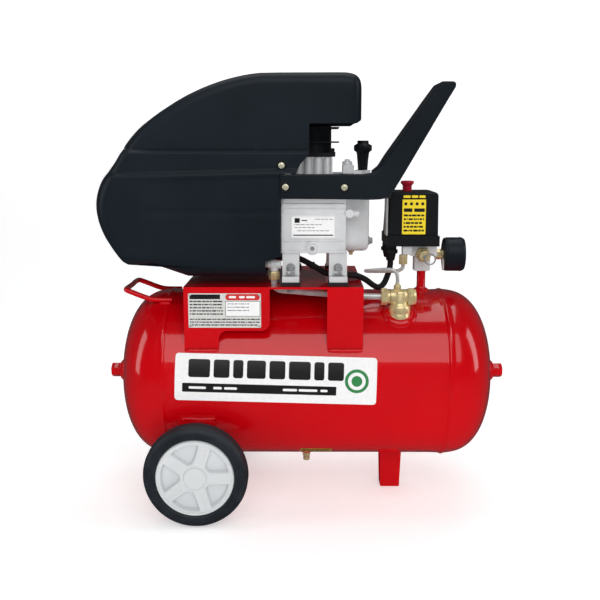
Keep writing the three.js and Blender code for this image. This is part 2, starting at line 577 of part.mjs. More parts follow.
// ---------------------------------------------------------------- pressure switch, manifold and gauge
const switchGroup = () => {
  const group = new THREE.Group();
  const baseBottom = 193.5;
  const coverBottom = 208;
  const coverTop = 270.8;
  const knobX = 147;
  const shell = new THREE.Shape();
  shell.moveTo(116, coverBottom + GAP);
  shell.lineTo(188.4, coverBottom + GAP);
  shell.lineTo(187.8, coverTop - 6);
  shell.quadraticCurveTo(187.6, coverTop, 181, coverTop);
  shell.lineTo(125, coverTop);
  shell.quadraticCurveTo(119.5, coverTop, 119.2, coverTop - 6);
  const hollow = outline([[118.5, coverBottom - 5], [186, coverBottom - 5], [185.2, coverTop - 2.5],
    [121.8, coverTop - 2.5]]);
  piece(group, 'switch_cover', cut(solid(slab(shell, -40, 40, 2.5)), slab(hollow, -37, 37),
    bar('z', 7.3, coverTop - 9, coverTop + 9, knobX, 0)), blackPlastic());
  piece(group, 'switch_base', cut(solid(box(114.5, 190.5, -42, 42, baseBottom, coverBottom)),
    box(120, 184, -36, 36, baseBottom + 4, coverBottom + 5)), blackPlastic());
  const knob = turned([[0, 0], [6.7, 0], [6.7, 19.5], [9.3, 21], [9.3, 24.5], [8.4, 25.4],
    [0, 25.4]], 'z', 20)
    .translate(knobX, 0, 260.3);
  piece(group, 'switch_knob', knob, knobRed());
  for (const [name, y] of [['gland_motor', -20], ['gland_mains', 20]]) {
    const gland = cut(join(bar('z', 9.2, 181, baseBottom - GAP, 122.4, y, 12),
      bar('z', 6, 171, 181.5, 122.4, y, 16, 8)), bar('z', LEAD_R + GAP, 160, 191, 122.4, y));
    piece(group, name, gland, blackPlastic());
  }
  piece(group, 'motor_lead', tube([[-66, -53, 177], [-50, -51, 180], [-34, -50, 180.5], [-11, -43, 176],
    [8, -39, 166], [30, -39, 154], [50, -39, 150.8], [74, -37, 150.4], [90, -34, 143], [102, -30, 140.5],
    [113, -25, 145], [119.5, -21.5, 154], [122.2, -20, 164], [122.4, -20, 172], [122.4, -20, 188]],
  LEAD_R, 8, 30), blackPlastic());
  piece(group, 'unloader_valve', cut(join(box(138, 152, -37, -23, 181, baseBottom - GAP),
    bar('z', 5.6, 166, 181.5, 140, -30, 6)), bar('z', BLEED_R + GAP, 160, 170, 140, -30)), brass());
  const block = join(box(152.6, 190.7, -19, 19, 177, baseBottom - GAP),
    box(159, 182, -11, 11, RISER_TOP + GAP, 178));
  piece(group, 'manifold', cut(block, bar('z', 3.5, 150, 185, RISER_X, 0),
    bar('x', 3.5, 170, 195, 0, GAUGE_Z + 6)),
    castAluminium());
  const relief = new THREE.Group();
  relief.position.set(169.5, -19, 182);
  const bodyTurned = turned([[3, -26], [7, -26], [8.3, -24], [8.3, -12], [6, -10], [6, -8],
    [3, -8]], 'y', 12);
  const reliefBody = cut(join(bodyTurned, bar('y', 8.6, -9, -GAP, 0, 0, 6)), bar('y', 3, -30, -5, 0, 0, 20));
  piece(relief, 'relief_valve_body', reliefBody, brass());
  const loop = new THREE.TorusGeometry(7.5, 1.1, 6, 18).rotateX(Math.PI / 2).rotateY(0.5);
  loop.translate(6.6, -30.5, -3.5);
  piece(relief, 'relief_ring', join(bar('y', 2.4, -31.5, -10, 0, 0, 16), loop), steel());
  group.add(relief);
  const gauge = new THREE.Group();
  gauge.position.set(202.6, 0, GAUGE_Z);
  piece(gauge, 'gauge_case', turned([[4.6, 0], [23.5, 0], [25, 1.5], [25, 24], [23.2, 30], [21, 30],
    [21, 28.2],
    [22, 28.2], [23, 3], [4.6, 3]], 'x', 24), blackPlastic());
  piece(gauge, 'gauge_stem', join(bar('x', 6.9, -11.6, -GAP, 0, 0, 6),
    bar('x', 4.2, -1, 4.4, 0, 0)), brass());
  const pointer = box(8.3, 9.3, -0.9, 0.9, -5, 17).rotateX(THREE.MathUtils.degToRad(135));
  const needle = join(bar('x', 3, 8, 10, 0, 0), pointer);
  piece(gauge, 'gauge_needle', needle, finish(0xc02020, 0.4, 0));
  piece(gauge, 'gauge_lens', turned([[0, 25.8], [21.8, 25.8], [21.8, 27.8], [0, 27.8]], 'x', 24),
    finish(0xdfe8ee, 0.05, 0));
  group.add(gauge);
  return group;
};

// ---------------------------------------------------------------- whole unit
const compressor = new THREE.Group();
const onAxis = new THREE.Group();
const rightEnd = BARREL_HALF + 0.15 + DOME_DEPTH + PLUG_END;
onAxis.position.set(-(TAIL_X + rightEnd) / 2, 0, AXIS_HEIGHT);
onAxis.add(tankGroup(), pumpGroup(), linesGroup(), switchGroup());
for (const [name, side] of [['front', -1], ['rear', 1]]) {
  onAxis.add(bracketGroup(name, side), wheelGroup(name, side));
}
compressor.add(onAxis);

export default compressor;
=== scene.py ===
"""Looks of a direct-drive piston air compressor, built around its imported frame.

Sizes in the classes are millimetres from the receiver's own axis and middle, and Datum turns them into
metres in the frame. X runs along the receiver to the gauge end, Y away from the operator's side, Z up.
"""

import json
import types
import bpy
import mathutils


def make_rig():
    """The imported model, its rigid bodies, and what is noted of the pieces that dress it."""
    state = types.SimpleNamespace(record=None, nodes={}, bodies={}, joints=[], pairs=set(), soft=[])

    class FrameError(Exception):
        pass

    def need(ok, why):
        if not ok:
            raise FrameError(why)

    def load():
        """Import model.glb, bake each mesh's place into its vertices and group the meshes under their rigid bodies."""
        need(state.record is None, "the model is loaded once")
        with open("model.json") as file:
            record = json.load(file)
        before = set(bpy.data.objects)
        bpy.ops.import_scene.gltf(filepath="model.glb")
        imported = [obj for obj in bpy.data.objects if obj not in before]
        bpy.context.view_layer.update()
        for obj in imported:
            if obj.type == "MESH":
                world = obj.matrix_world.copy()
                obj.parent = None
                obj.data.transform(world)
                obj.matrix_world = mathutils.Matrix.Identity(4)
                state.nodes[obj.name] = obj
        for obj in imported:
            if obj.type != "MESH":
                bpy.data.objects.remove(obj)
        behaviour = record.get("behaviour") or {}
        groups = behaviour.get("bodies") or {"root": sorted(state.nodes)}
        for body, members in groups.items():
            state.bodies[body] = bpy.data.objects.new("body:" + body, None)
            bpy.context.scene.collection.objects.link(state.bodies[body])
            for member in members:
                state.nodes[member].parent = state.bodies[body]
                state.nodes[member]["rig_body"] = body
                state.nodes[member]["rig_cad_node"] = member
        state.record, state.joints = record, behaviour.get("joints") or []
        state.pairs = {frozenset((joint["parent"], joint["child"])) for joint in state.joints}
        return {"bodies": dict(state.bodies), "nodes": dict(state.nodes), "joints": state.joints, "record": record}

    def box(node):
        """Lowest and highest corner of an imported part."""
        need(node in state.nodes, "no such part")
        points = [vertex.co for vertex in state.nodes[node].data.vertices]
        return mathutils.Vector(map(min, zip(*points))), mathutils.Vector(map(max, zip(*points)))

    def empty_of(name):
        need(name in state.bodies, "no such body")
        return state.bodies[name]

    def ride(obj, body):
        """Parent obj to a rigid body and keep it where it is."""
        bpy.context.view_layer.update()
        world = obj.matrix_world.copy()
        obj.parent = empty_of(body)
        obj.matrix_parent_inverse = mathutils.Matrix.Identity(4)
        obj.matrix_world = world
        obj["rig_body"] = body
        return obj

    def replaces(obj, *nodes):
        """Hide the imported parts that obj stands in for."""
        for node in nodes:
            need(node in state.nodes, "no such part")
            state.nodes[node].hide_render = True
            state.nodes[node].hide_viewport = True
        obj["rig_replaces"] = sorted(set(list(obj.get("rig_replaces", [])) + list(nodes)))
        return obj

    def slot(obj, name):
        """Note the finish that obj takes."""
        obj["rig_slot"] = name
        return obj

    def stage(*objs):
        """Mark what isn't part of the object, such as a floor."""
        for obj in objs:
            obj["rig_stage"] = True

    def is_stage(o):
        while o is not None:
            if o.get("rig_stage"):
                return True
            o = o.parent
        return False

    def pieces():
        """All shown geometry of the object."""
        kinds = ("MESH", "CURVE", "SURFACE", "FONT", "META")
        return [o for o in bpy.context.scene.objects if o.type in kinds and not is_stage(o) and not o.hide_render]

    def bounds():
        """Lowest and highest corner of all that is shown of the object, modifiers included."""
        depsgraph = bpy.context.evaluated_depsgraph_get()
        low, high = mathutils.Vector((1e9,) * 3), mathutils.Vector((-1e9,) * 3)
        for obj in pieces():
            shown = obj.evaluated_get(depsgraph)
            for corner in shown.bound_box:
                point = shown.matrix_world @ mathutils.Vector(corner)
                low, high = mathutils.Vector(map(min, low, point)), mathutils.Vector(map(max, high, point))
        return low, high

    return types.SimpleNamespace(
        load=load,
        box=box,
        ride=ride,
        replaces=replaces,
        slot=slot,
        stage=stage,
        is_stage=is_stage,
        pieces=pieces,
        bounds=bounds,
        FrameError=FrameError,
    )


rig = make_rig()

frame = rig.load()
CAD_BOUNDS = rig.bounds()

import json
import logging
import random
from collections.abc import Callable, Sequence
from dataclasses import dataclass, field
from enum import Enum
from math import asin, atan2, cos, exp, hypot, pi, radians, sin, sqrt

import bmesh
import bpy
from mathutils import Matrix, Vector

MM = 0.001
SIZE_FILE = "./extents.json"
SMOOTH_ANGLE = 28.0
log = logging.getLogger("compressor")
Outline = list[tuple[float, float]]
Colour = tuple[float, float, float]
Place = tuple[float, float, float]


class Way(Enum):
    """The way in which a turned piece runs from its base."""

    RIGHT = (1, 0, 0)
    LEFT = (-1, 0, 0)
    FRONT = (0, -1, 0)
    BACK = (0, 1, 0)
    UP = (0, 0, 1)
    DOWN = (0, 0, -1)

    def turn(self) -> Matrix:
        """Rotation that takes +Z to this way."""
        return Vector((0, 0, 1)).rotation_difference(Vector(self.value)).to_matrix().to_4x4()


@dataclass(frozen=True)
class Datum:
    """The receiver's own axis and middle, in metres in the frame."""

    x: float
    z: float

    @classmethod
    def of_frame(cls) -> "Datum":
        """Datum found from the two end plugs."""
        left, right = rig.box("plug_left"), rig.box("plug_right")
        return cls((left[0].x + right[1].x) / 2, (right[0].z + right[1].z) / 2)

    def at(self, corner: Vector) -> Vector:
        """A corner in millimetres about the datum, as metres in the frame."""
        return Vector((self.x + corner.x * MM, corner.y * MM, self.z + corner.z * MM))

    def middle(self, node: str) -> Vector:
        """Middle of a CAD node's box, in millimetres about the datum.

        Args:
            node: The node's name.

        Returns:
            The middle.
        """
        low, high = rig.box(node)
        mid = (low + high) / 2
        return Vector(((mid.x - self.x) / MM, mid.y / MM, (mid.z - self.z) / MM))


# ---------------------------------------------------------------- forms
@dataclass
class Form:
    """Corners in millimetres about the datum, and the faces between them."""

    corners: list[Vector] = field(default_factory=list)
    faces: list[tuple[int, ...]] = field(default_factory=list)

    def __add__(self, other: "Form") -> "Form":
        """Both forms as one."""
        shift = len(self.corners)
        return Form(self.corners + other.corners, self.faces + [tuple(i + shift for i in f)
                                                                for f in other.faces])

    def placed(self, x: float, y: float, z: float, way: Way = Way.UP, spin: float = 0.0) -> "Form":
        """The form spun about its own axis, turned to run a given way, and moved."""
        return self.under(Matrix.Translation((x, y, z)) @ way.turn() @ Matrix.Rotation(spin, 4, "Z"))

    def under(self, matrix: Matrix) -> "Form":
        """The form moved by a matrix."""
        return Form([matrix @ c for c in self.corners], self.faces)

    def warped(self, rule: Callable[[Vector], Vector]) -> "Form":
        """The form with each corner moved by a rule."""
        return Form([rule(c) for c in self.corners], self.faces)


def lofted(rings: Sequence[Sequence[Vector]], looped: bool = False) -> Form:
    """Skin over rings of equal count.

    Args:
        rings: Closed rings of corners, in order.
        looped: Whether the last ring joins the first, in place of two end caps.

    Returns:
        A closed form.
    """
    count = len(rings[0])
    faces: list[tuple[int, ...]] = []
    for r in range(len(rings) if looped else len(rings) - 1):
        a, b = r * count, (r + 1) % len(rings) * count
        faces += [(a + i, a + (i + 1) % count, b + (i + 1) % count, b + i) for i in range(count)]
    if not looped:
        faces.append(tuple(reversed(range(count))))
        faces.append(tuple(range((len(rings) - 1) * count, len(rings) * count)))
    return Form([c for ring in rings for c in ring], faces)


def turned(profile: Outline, sides: int = 64, looped: bool = False) -> Form:
    """Profile of (radius, height) turned about Z; looped for a ring-shaped piece."""
    turns = [2 * pi * i / sides for i in range(sides)]
    return lofted([[Vector((r * cos(t), r * sin(t), d)) for t in turns] for r, d in profile], looped)


def hexagon(flats: float, low: float, high: float, chamfer: float = 1.0) -> Form:
    """Six-sided bar along Z with its corners chamfered at both ends."""
    r = flats / 2 / cos(pi / 6)
    return turned([(flats / 2 - 0.4, low), (r - chamfer * 0.6, low + 0.01), (r, low + chamfer),
                   (r, high - chamfer),
                   (r - chamfer * 0.6, high - 0.01), (flats / 2 - 0.4, high)], 6)


def prism(outline: Outline, y0: float, y1: float) -> Form:
    """Outline in X and Z, extruded along Y."""
    return lofted([[Vector((x, y, z)) for x, z in outline] for y in (y0, y1)])


def block(x0: float, x1: float, y0: float, y1: float, z0: float, z1: float) -> Form:
    """Plain block, for cutting with or for bevelling."""
    return prism([(x0, z0), (x1, z0), (x1, z1), (x0, z1)], y0, y1)


def arc(x: float, z: float, radius: float, start: float, end: float, steps: int = 10) -> Outline:
    """Points along an arc, with its angles in degrees."""
    turns = [radians(start + (end - start) * i / steps) for i in range(steps + 1)]
    return [(x + radius * cos(t), z + radius * sin(t)) for t in turns]


def smooth_path(points: Sequence[Sequence[float]], steps: int = 8) -> list[Vector]:
    """Centripetal Catmull-Rom curve through points.

    Args:
        points: Points that the curve passes through.
        steps: Steps between two of them.

    Returns:
        Points along the curve.
    """
    p = [Vector(q) for q in points]
    p = [p[0] * 2 - p[1], *p, p[-1] * 2 - p[-2]]
    path = []
    for a, b, c, d in zip(p, p[1:], p[2:], p[3:]):
        t1 = (b - a).length ** 0.5
        t2 = t1 + (c - b).length ** 0.5
        t3 = t2 + (d - c).length ** 0.5
        for i in range(steps):
            t = t1 + (t2 - t1) * i / steps
            ab = a.lerp(b, t / t1)
            bc = b.lerp(c, (t - t1) / (t2 - t1))
            cd = c.lerp(d, (t - t2) / (t3 - t2))
            abc = ab.lerp(bc, t / t2)
            bcd = bc.lerp(cd, (t - t1) / (t3 - t1))
            path.append(abc.lerp(bcd, (t - t1) / (t2 - t1)))
    return [*path, p[-2]]


def swept(path: Sequence[Vector], radius: Callable[[float], float] | float, sides: int = 20) -> Form:
    """Round section carried along a path without twist.

    Args:
        path: Points of the centre line.
        radius: One radius, or a rule from the share of the path (0 to 1) to a radius.
        sides: Corners of the section.

    Returns:
        A closed tube-shaped form.
    """
    rule = radius if callable(radius) else lambda share: radius
    normal = None
    rings = []
    for i, point in enumerate(path):
        ahead = (path[min(i + 1, len(path) - 1)] - path[max(i - 1, 0)]).normalized()
        if normal is None:
            normal = ahead.orthogonal().normalized()
        normal = (normal - ahead * normal.dot(ahead)).normalized()
        side = ahead.cross(normal)
        r = rule(i / (len(path) - 1))
        rings.append([point + (normal * cos(t) + side * sin(t)) * r for t in (2 * pi * k / sides
                                                                              for k in range(sides))])
    return lofted(rings)


def weld(points: Sequence[Sequence[float]], size: float) -> Form:
    """Rippled weld bead along points.

    Args:
        points: Points along the bead.
        size: Its radius.

    Returns:
        A closed form.
    """
    path = smooth_path(points, 10)
    ends = lambda s: min(1.0, 0.45 + 5 * min(s, 1 - s))
    return swept(path, lambda s: size * ends(s) * (1 + 0.12 * sin(s * len(path) * 1.9)), 12)


def rounded(width: float, height: float, corner: float, steps: int = 6, rows: int = 10) -> list[tuple[float,
                                                                                                      ...]]:
    """Rows (v, lowest u, highest u) that fill a rounded rectangle about its middle.

    Args:
        width: Size along u.
        height: Size along v.
        corner: Radius of the corners.
        steps: Rows in a corner.
        rows: Rows between two corners.

    Returns:
        The rows, lowest first.
    """
    top = height / 2
    bend = [top - corner + corner * sin(pi / 2 * i / steps) for i in range(steps + 1)]
    flat = [(top - corner) * (2 * i / rows - 1) for i in range(1, rows)]
    levels = sorted({round(v, 5) for v in [*bend, *flat, *(-b for b in bend)]})
    found = []
    for v in levels:
        over = max(0.0, abs(v) - (top - corner))
        half = width / 2 - corner + sqrt(max(0.0, corner**2 - over**2))
        found.append((v, -half, half))
    return found


def filled(rows: Sequence[tuple[float, ...]], columns: int, place: Callable[[float, float], Vector]) -> Form:
    """Grid over rows (v, u0, u1), laid on a surface by a rule; the workshop gives it its thickness.

    Args:
        rows: The rows.
        columns: Cells along u.
        place: Rule from (u, v) to a corner.

    Returns:
        An open sheet.
    """
    corners = [place(a + (b - a) * i / columns, v) for v, a, b in rows for i in range(columns + 1)]
    wide = columns + 1
    faces = [(r * wide + i, r * wide + i + 1, (r + 1) * wide + i + 1, (r + 1) * wide + i)
             for r in range(len(rows) - 1) for i in range(columns)]
    return Form(corners, faces)


def shifted(rows: Sequence[tuple[float, ...]], u: float, v: float) -> list[tuple[float, ...]]:
    """The same rows about another middle."""
    return [(row + v, a + u, b + u) for row, a, b in rows]


def dashes(seed: int, u0: float, u1: float, v: float, height: float) -> list[list[tuple[float, ...]]]:
    """A line of short plain dashes that stands for small print.

    Args:
        seed: Seed of the lengths.
        u0: Start of the line.
        u1: End of the line.
        v: Middle of the line's height.
        height: Height of a dash.

    Returns:
        Two rows for each dash.
    """
    chance = random.Random(seed)
    found, u = [], u0
    while u < u1 - 1.5:
        end = min(u1, u + chance.uniform(1.2, 6.5))
        found.append([(v - height / 2, u, end), (v + height / 2, u, end)])
        u = end + chance.uniform(0.7, 1.6)
    return found


# ---------------------------------------------------------------- shader kit
class Signal:
    """A node's output, on which Python's operators add Math nodes."""

    def __init__(self, board: "Board", port: bpy.types.NodeSocket) -> None:
        """Wraps one output of one board."""
        self.board = board
        self.port = port

    def _math(self, operation: str, first: object, second: object) -> "Signal":
        """One Math node."""
        return self.board.node("ShaderNodeMath", {"operation": operation}, {0: first, 1: second})

    def __add__(self, other: object) -> "Signal":
        """Sum."""
        return self._math("ADD", self, other)

    def __sub__(self, other: object) -> "Signal":
        """Difference."""
        return self._math("SUBTRACT", self, other)

    def __rsub__(self, other: object) -> "Signal":
        """Difference, reflected."""
        return self._math("SUBTRACT", other, self)

    def __mul__(self, other: object) -> "Signal":
        """Product."""
        return self._math("MULTIPLY", self, other)

    def __pow__(self, other: object) -> "Signal":
        """Power."""
        return self._math("POWER", self, other)

    __radd__ = __add__
    __rmul__ = __mul__


@dataclass
class Board:
    """The node tree of one material."""

    material: bpy.types.Material

    @classmethod
    def blank(cls, name: str) -> "Board":
        """A new material that has only its shader and output.

        Args:
            name: The material's name.

        Returns:
            Its board.
        """
        material = bpy.data.materials.new(name)
        material.use_nodes = True
        return cls(material)

    @property
    def shader(self) -> bpy.types.Node:
        """The Principled node."""
        return self.material.node_tree.nodes["Principled BSDF"]

    def node(self, kind: str, settings: dict[str, object], inputs: dict[int | str, object],
             output: int | str = 0) -> Signal:
        """Adds a node.

        Args:
            kind: The node's type.
            settings: Its own settings, set first; "stops" is a ramp's list of (place, grey).
            inputs: Values or signals of its sockets.
            output: The output that is wanted.

        Returns:
            The wanted output.
        """
        node = self.material.node_tree.nodes.new(kind)
        for key, value in settings.items():
            if key == "stops":
                ramp = node.color_ramp
                for element, (place, grey) in zip(ramp.elements, value):
                    element.position = place
                    element.color = (grey, grey, grey, 1)
            else:
                setattr(node, key, value)
        for key, value in inputs.items():
            self.feed(node.inputs[key], value)
        return Signal(self, node.outputs[output])

    def feed(self, socket: bpy.types.NodeSocket, value: object) -> None:
        """Links a signal to a socket, or sets its value.

        Args:
            socket: The socket.
            value: A signal, or a plain value.
        """
        if isinstance(value, Signal):
            self.material.node_tree.links.new(value.port, socket)
        else:
            socket.default_value = value

    def noise(self, scale: float, detail: float = 3.0, stretch: Colour = (1, 1, 1)) -> Signal:
        """Noise over the piece's own metres, which keeps still as the piece moves.

        Args:
            scale: Cells in a metre.
            detail: Octaves of finer noise.
            stretch: Scale along each axis.

        Returns:
            The noise, 0 to 1.
        """
        place = self.node("ShaderNodeTexCoord", {}, {}, "Object")
        place = self.node("ShaderNodeMapping", {}, {"Vector": place, "Scale": stretch})
        return self.node("ShaderNodeTexNoise", {}, {"Vector": place, "Scale": scale, "Detail": detail}, "Fac")

    def ramp(self, signal: Signal, low: float, high: float) -> Signal:
        """The signal stretched so that low gives 0 and high gives 1."""
        return self.node("ShaderNodeValToRGB", {"stops": [(low, 0.0), (high, 1.0)]}, {"Fac": signal})

    def blend(self, share: Signal, first: object, second: object) -> Signal:
        """Colours mixed by a share."""
        full = lambda c: c if isinstance(c, Signal) else (*c, 1)
        return self.node("ShaderNodeMix", {"data_type": "RGBA"}, {0: share, 6: full(first), 7: full(second)},
                         2)

    def relief(self, height: Signal, strength: float, depth: float, under: Signal | None = None) -> Signal:
        """Bump from a height, over another bump if one is given.

        Args:
            height: The height.
            strength: Strength of the bump.
            depth: Its depth, in metres.
            under: Bump that it lies over.

        Returns:
            The bent normal.
        """
        inputs = {"Height": height, "Strength": strength, "Distance": depth}
        if under is not None:
            inputs["Normal"] = under
        return self.node("ShaderNodeBump", {}, inputs, "Normal")

    def lay(self, values: dict[str, object]) -> None:
        """Sets or links the Principled node's sockets."""
        for key, value in values.items():
            self.feed(self.shader.inputs[key], value)


@dataclass(frozen=True)
class Finish:
    """What every finish has: a name, the record's slot and one cached material."""

    name: str
    slot: str | None
    colour: Colour

    def material(self) -> bpy.types.Material:
        """The finish as a material, made once.

        Returns:
            The material.
        """
        name = f"{self.name}_look"
        found = bpy.data.materials.get(name)
        if found is None:
            board = Board.blank(name)
            self.compose(board)
            found = board.material
        return found

    def shade(self, factor: float) -> Colour:
        """The finish's colour, lighter or darker."""
        return tuple(min(1.0, c * factor) for c in self.colour)

    def compose(self, board: Board) -> None:
        """Lays the finish on a board."""
        raise NotImplementedError


@dataclass(frozen=True)
class Enamel(Finish):
    """Gloss paint with orange peel, slow tone changes and fine dust."""

    gloss: float = 0.16

    def compose(self, board: Board) -> None:
        """Lays the enamel.

        Args:
            board: The board.
        """
        tone = board.ramp(board.noise(5, 2), 0.3, 0.7)
        dust = board.ramp(board.noise(120, 6), 0.45, 0.8)
        peel = board.relief(board.noise(330, 2), 0.05, 0.0006)
        speck = board.ramp(board.noise(1500, 2), 0.72, 0.8)
        base = board.blend(tone, self.shade(0.86), self.colour)
        board.lay({"Base Color": board.blend(speck * 0.35, base, self.shade(0.45)),
                   "Roughness": dust * 0.12 + self.gloss,
                   "Normal": board.relief(speck, 0.12, 0.0002, peel),
                   "Coat Weight": 0.9, "Coat Roughness": 0.035, "Specular IOR Level": 0.25})


@dataclass(frozen=True)
class Moulded(Finish):
    """Moulded plastic with a fine grain, a slow bloom and long faint scuffs."""

    gloss: float = 0.42
    grain: float = 0.22
    bloom: float = 1.45

    def compose(self, board: Board) -> None:
        """Lays the plastic.

        Args:
            board: The board.
        """
        bloom = board.ramp(board.noise(7, 3), 0.35, 0.72)
        scuff = board.ramp(board.noise(42, 5, (0.25, 1, 2.6)), 0.66, 0.84)
        grain = board.relief(board.noise(2300, 2), self.grain, 0.0003)
        tone = board.blend(bloom, self.colour, self.shade(self.bloom))
        board.lay({"Base Color": board.blend(scuff * 0.3, tone, self.shade(self.bloom * 1.5)),
                   "Roughness": bloom * 0.1 + scuff * 0.08 + self.gloss, "Specular IOR Level": 0.24,
                   "Normal": board.relief(scuff, 0.04, 0.0003, grain)})


@dataclass(frozen=True)
class Cast(Finish):
    """Die-cast or sand-cast metal with a blasted skin and dull patches."""

    metal: float = 0.75
    rough: float = 0.36

    def compose(self, board: Board) -> None:
        """Lays the casting's skin.

        Args:
            board: The board.
        """
        patch = board.ramp(board.noise(26, 5), 0.35, 0.7)
        pit = board.noise(1300, 4)
        deep = board.ramp(board.noise(420, 3), 0.62, 0.75)
        skin = board.relief(pit, 0.3, 0.0003)
        tone = board.blend(patch, self.shade(0.84), self.colour)
        board.lay({"Base Color": board.blend(deep * 0.3, tone, self.shade(0.6)),
                   "Roughness": patch * 0.14 + pit * 0.1 + self.rough, "Metallic": self.metal,
                   "Normal": board.relief(deep, 0.1, 0.0003, skin)})


@dataclass(frozen=True)
class Turned(Finish):
    """Machined or drawn metal with fine tool lines and a light tarnish."""

    rough: float = 0.2
    lines: float = 0.08
    tarnish: float = 0.55
    metal: float = 0.62

    def compose(self, board: Board) -> None:
        """Lays the machined metal.

        Args:
            board: The board.
        """
        stain = board.ramp(board.noise(75, 5), 0.45, 0.8)
        streak = board.noise(900, 2, (1.0, 0.12, 0.12))
        line = board.noise(2600, 1, (0.1, 0.1, 1.0))
        board.lay({"Base Color": board.blend(stain, self.colour, self.shade(self.tarnish)),
                   "Roughness": stain * 0.22 + streak * 0.1 + self.rough, "Metallic": self.metal,
                   "Normal": board.relief(line, self.lines, 0.0002)})


@dataclass(frozen=True)
class Rubber(Finish):
    """Dull rubber with a dusty bloom."""

    rough: float = 0.62

    def compose(self, board: Board) -> None:
        """Lays the rubber.

        Args:
            board: The board.
        """
        dust = board.ramp(board.noise(60, 6), 0.4, 0.85)
        skin = board.noise(1700, 3)
        board.lay({"Base Color": board.blend(dust, self.colour, self.shade(2.1)),
                   "Roughness": dust * 0.18 + self.rough, "Normal": board.relief(skin, 0.18, 0.0003)})


@dataclass(frozen=True)
class Printed(Finish):
    """Printed film or foil, with slight mottling and a faint surface ripple."""

    rough: float = 0.3
    metal: float = 0.0

    def compose(self, board: Board) -> None:
        """Lays the film.

        Args:
            board: The board.
        """
        mottle = board.ramp(board.noise(210, 4), 0.35, 0.75)
        ripple = board.relief(board.noise(70, 2), 0.06, 0.0004)
        board.lay({"Base Color": board.blend(mottle, self.shade(0.93), self.colour),
                   "Roughness": mottle * 0.1 + self.rough, "Metallic": self.metal, "Normal": ripple})


@dataclass(frozen=True)
class Lens(Finish):
    """Clear window with faint smears."""

    def compose(self, board: Board) -> None:
        """Lays the window.

        Args:
            board: The board.
        """
        smear = board.ramp(board.noise(90, 4), 0.5, 0.9)
        board.lay({"Base Color": (*self.colour, 1), "Roughness": smear * 0.08 + 0.02,
                   "Transmission Weight": 1.0, "IOR": 1.45})


RED = Enamel("red_enamel", "red_paint", (0.60, 0.0, 0.004))
SHROUD = Moulded("shroud_plastic", "shroud_plastic", (0.0050, 0.0086, 0.0128), 0.36, 0.2, 1.5)
DARK = Moulded("handle_plastic", "black_plastic", (0.0050, 0.0082, 0.0118), 0.36, 0.2, 1.5)
BLACK = Moulded("black_plastic", "black_plastic", (0.0065, 0.0072, 0.0085), 0.36, 0.2, 1.5)
HUB = Moulded("hub_plastic", "hub_plastic", (0.60, 0.62, 0.63), 0.42, 0.1, 1.08)
CAST = Cast("blasted_casting", "cast_aluminium", (0.82, 0.83, 0.84), 0.3, 0.42)
GREY_CAST = Cast("cover_casting", "cast_aluminium", (0.72, 0.73, 0.74), 0.3, 0.4)
IRON = Cast("coated_iron", "black_iron", (0.010, 0.011, 0.013), 0.1, 0.45)
ALUMINIUM = Turned("drawn_aluminium", "aluminium", (0.72, 0.72, 0.71), 0.26, 0.08, 0.7)
STEEL = Turned("ground_steel", "steel", (0.50, 0.51, 0.52), 0.24, 0.08, 0.6)
ZINC = Turned("yellow_zinc", "steel", (0.92, 0.88, 0.66), 0.22, 0.05, 0.7)
BRASS = Turned("turned_brass", "brass", (0.95, 0.78, 0.42), 0.2, 0.06, 0.7)
RUBBER = Rubber("mount_rubber", "rubber", (0.012, 0.012, 0.013))
TYRE = Rubber("tyre_rubber", "tyre_rubber", (0.010, 0.0135, 0.0185), 0.5)
CABLE = Moulded("cable_sheath", "black_plastic", (0.008, 0.008, 0.009), 0.42, 0.1, 1.4)
KNOB = Moulded("knob_plastic", "knob_plastic", (0.42, 0.008, 0.03), 0.25, 0.06, 1.1)
KNOB_DARK = Moulded("fan_plastic", "black_plastic", (0.03, 0.03, 0.032), 0.45)
POINTER = Enamel("pointer_paint", "needle_paint", (0.5, 0.01, 0.01), 0.3)
WHITE_FILM = Printed("white_film", None, (0.88, 0.88, 0.88))
BLACK_INK = Printed("black_ink", None, (0.012, 0.012, 0.013))
GREY_INK = Printed("grey_ink", None, (0.16, 0.16, 0.165))
GREEN_INK = Printed("green_ink", None, (0.03, 0.24, 0.07))
YELLOW_FILM = Printed("yellow_film", None, (0.87, 0.66, 0.015))
RED_INK = Printed("red_ink", None, (0.62, 0.02, 0.02))
SILVER_FILM = Printed("silver_film", None, (0.74, 0.74, 0.71), 0.34, 0.15)
GOLD_FILM = Printed("gold_film", None, (0.75, 0.5, 0.06), 0.3, 0.6)
LENS = Lens("gauge_window", "lens", (0.95, 0.97, 0.98))


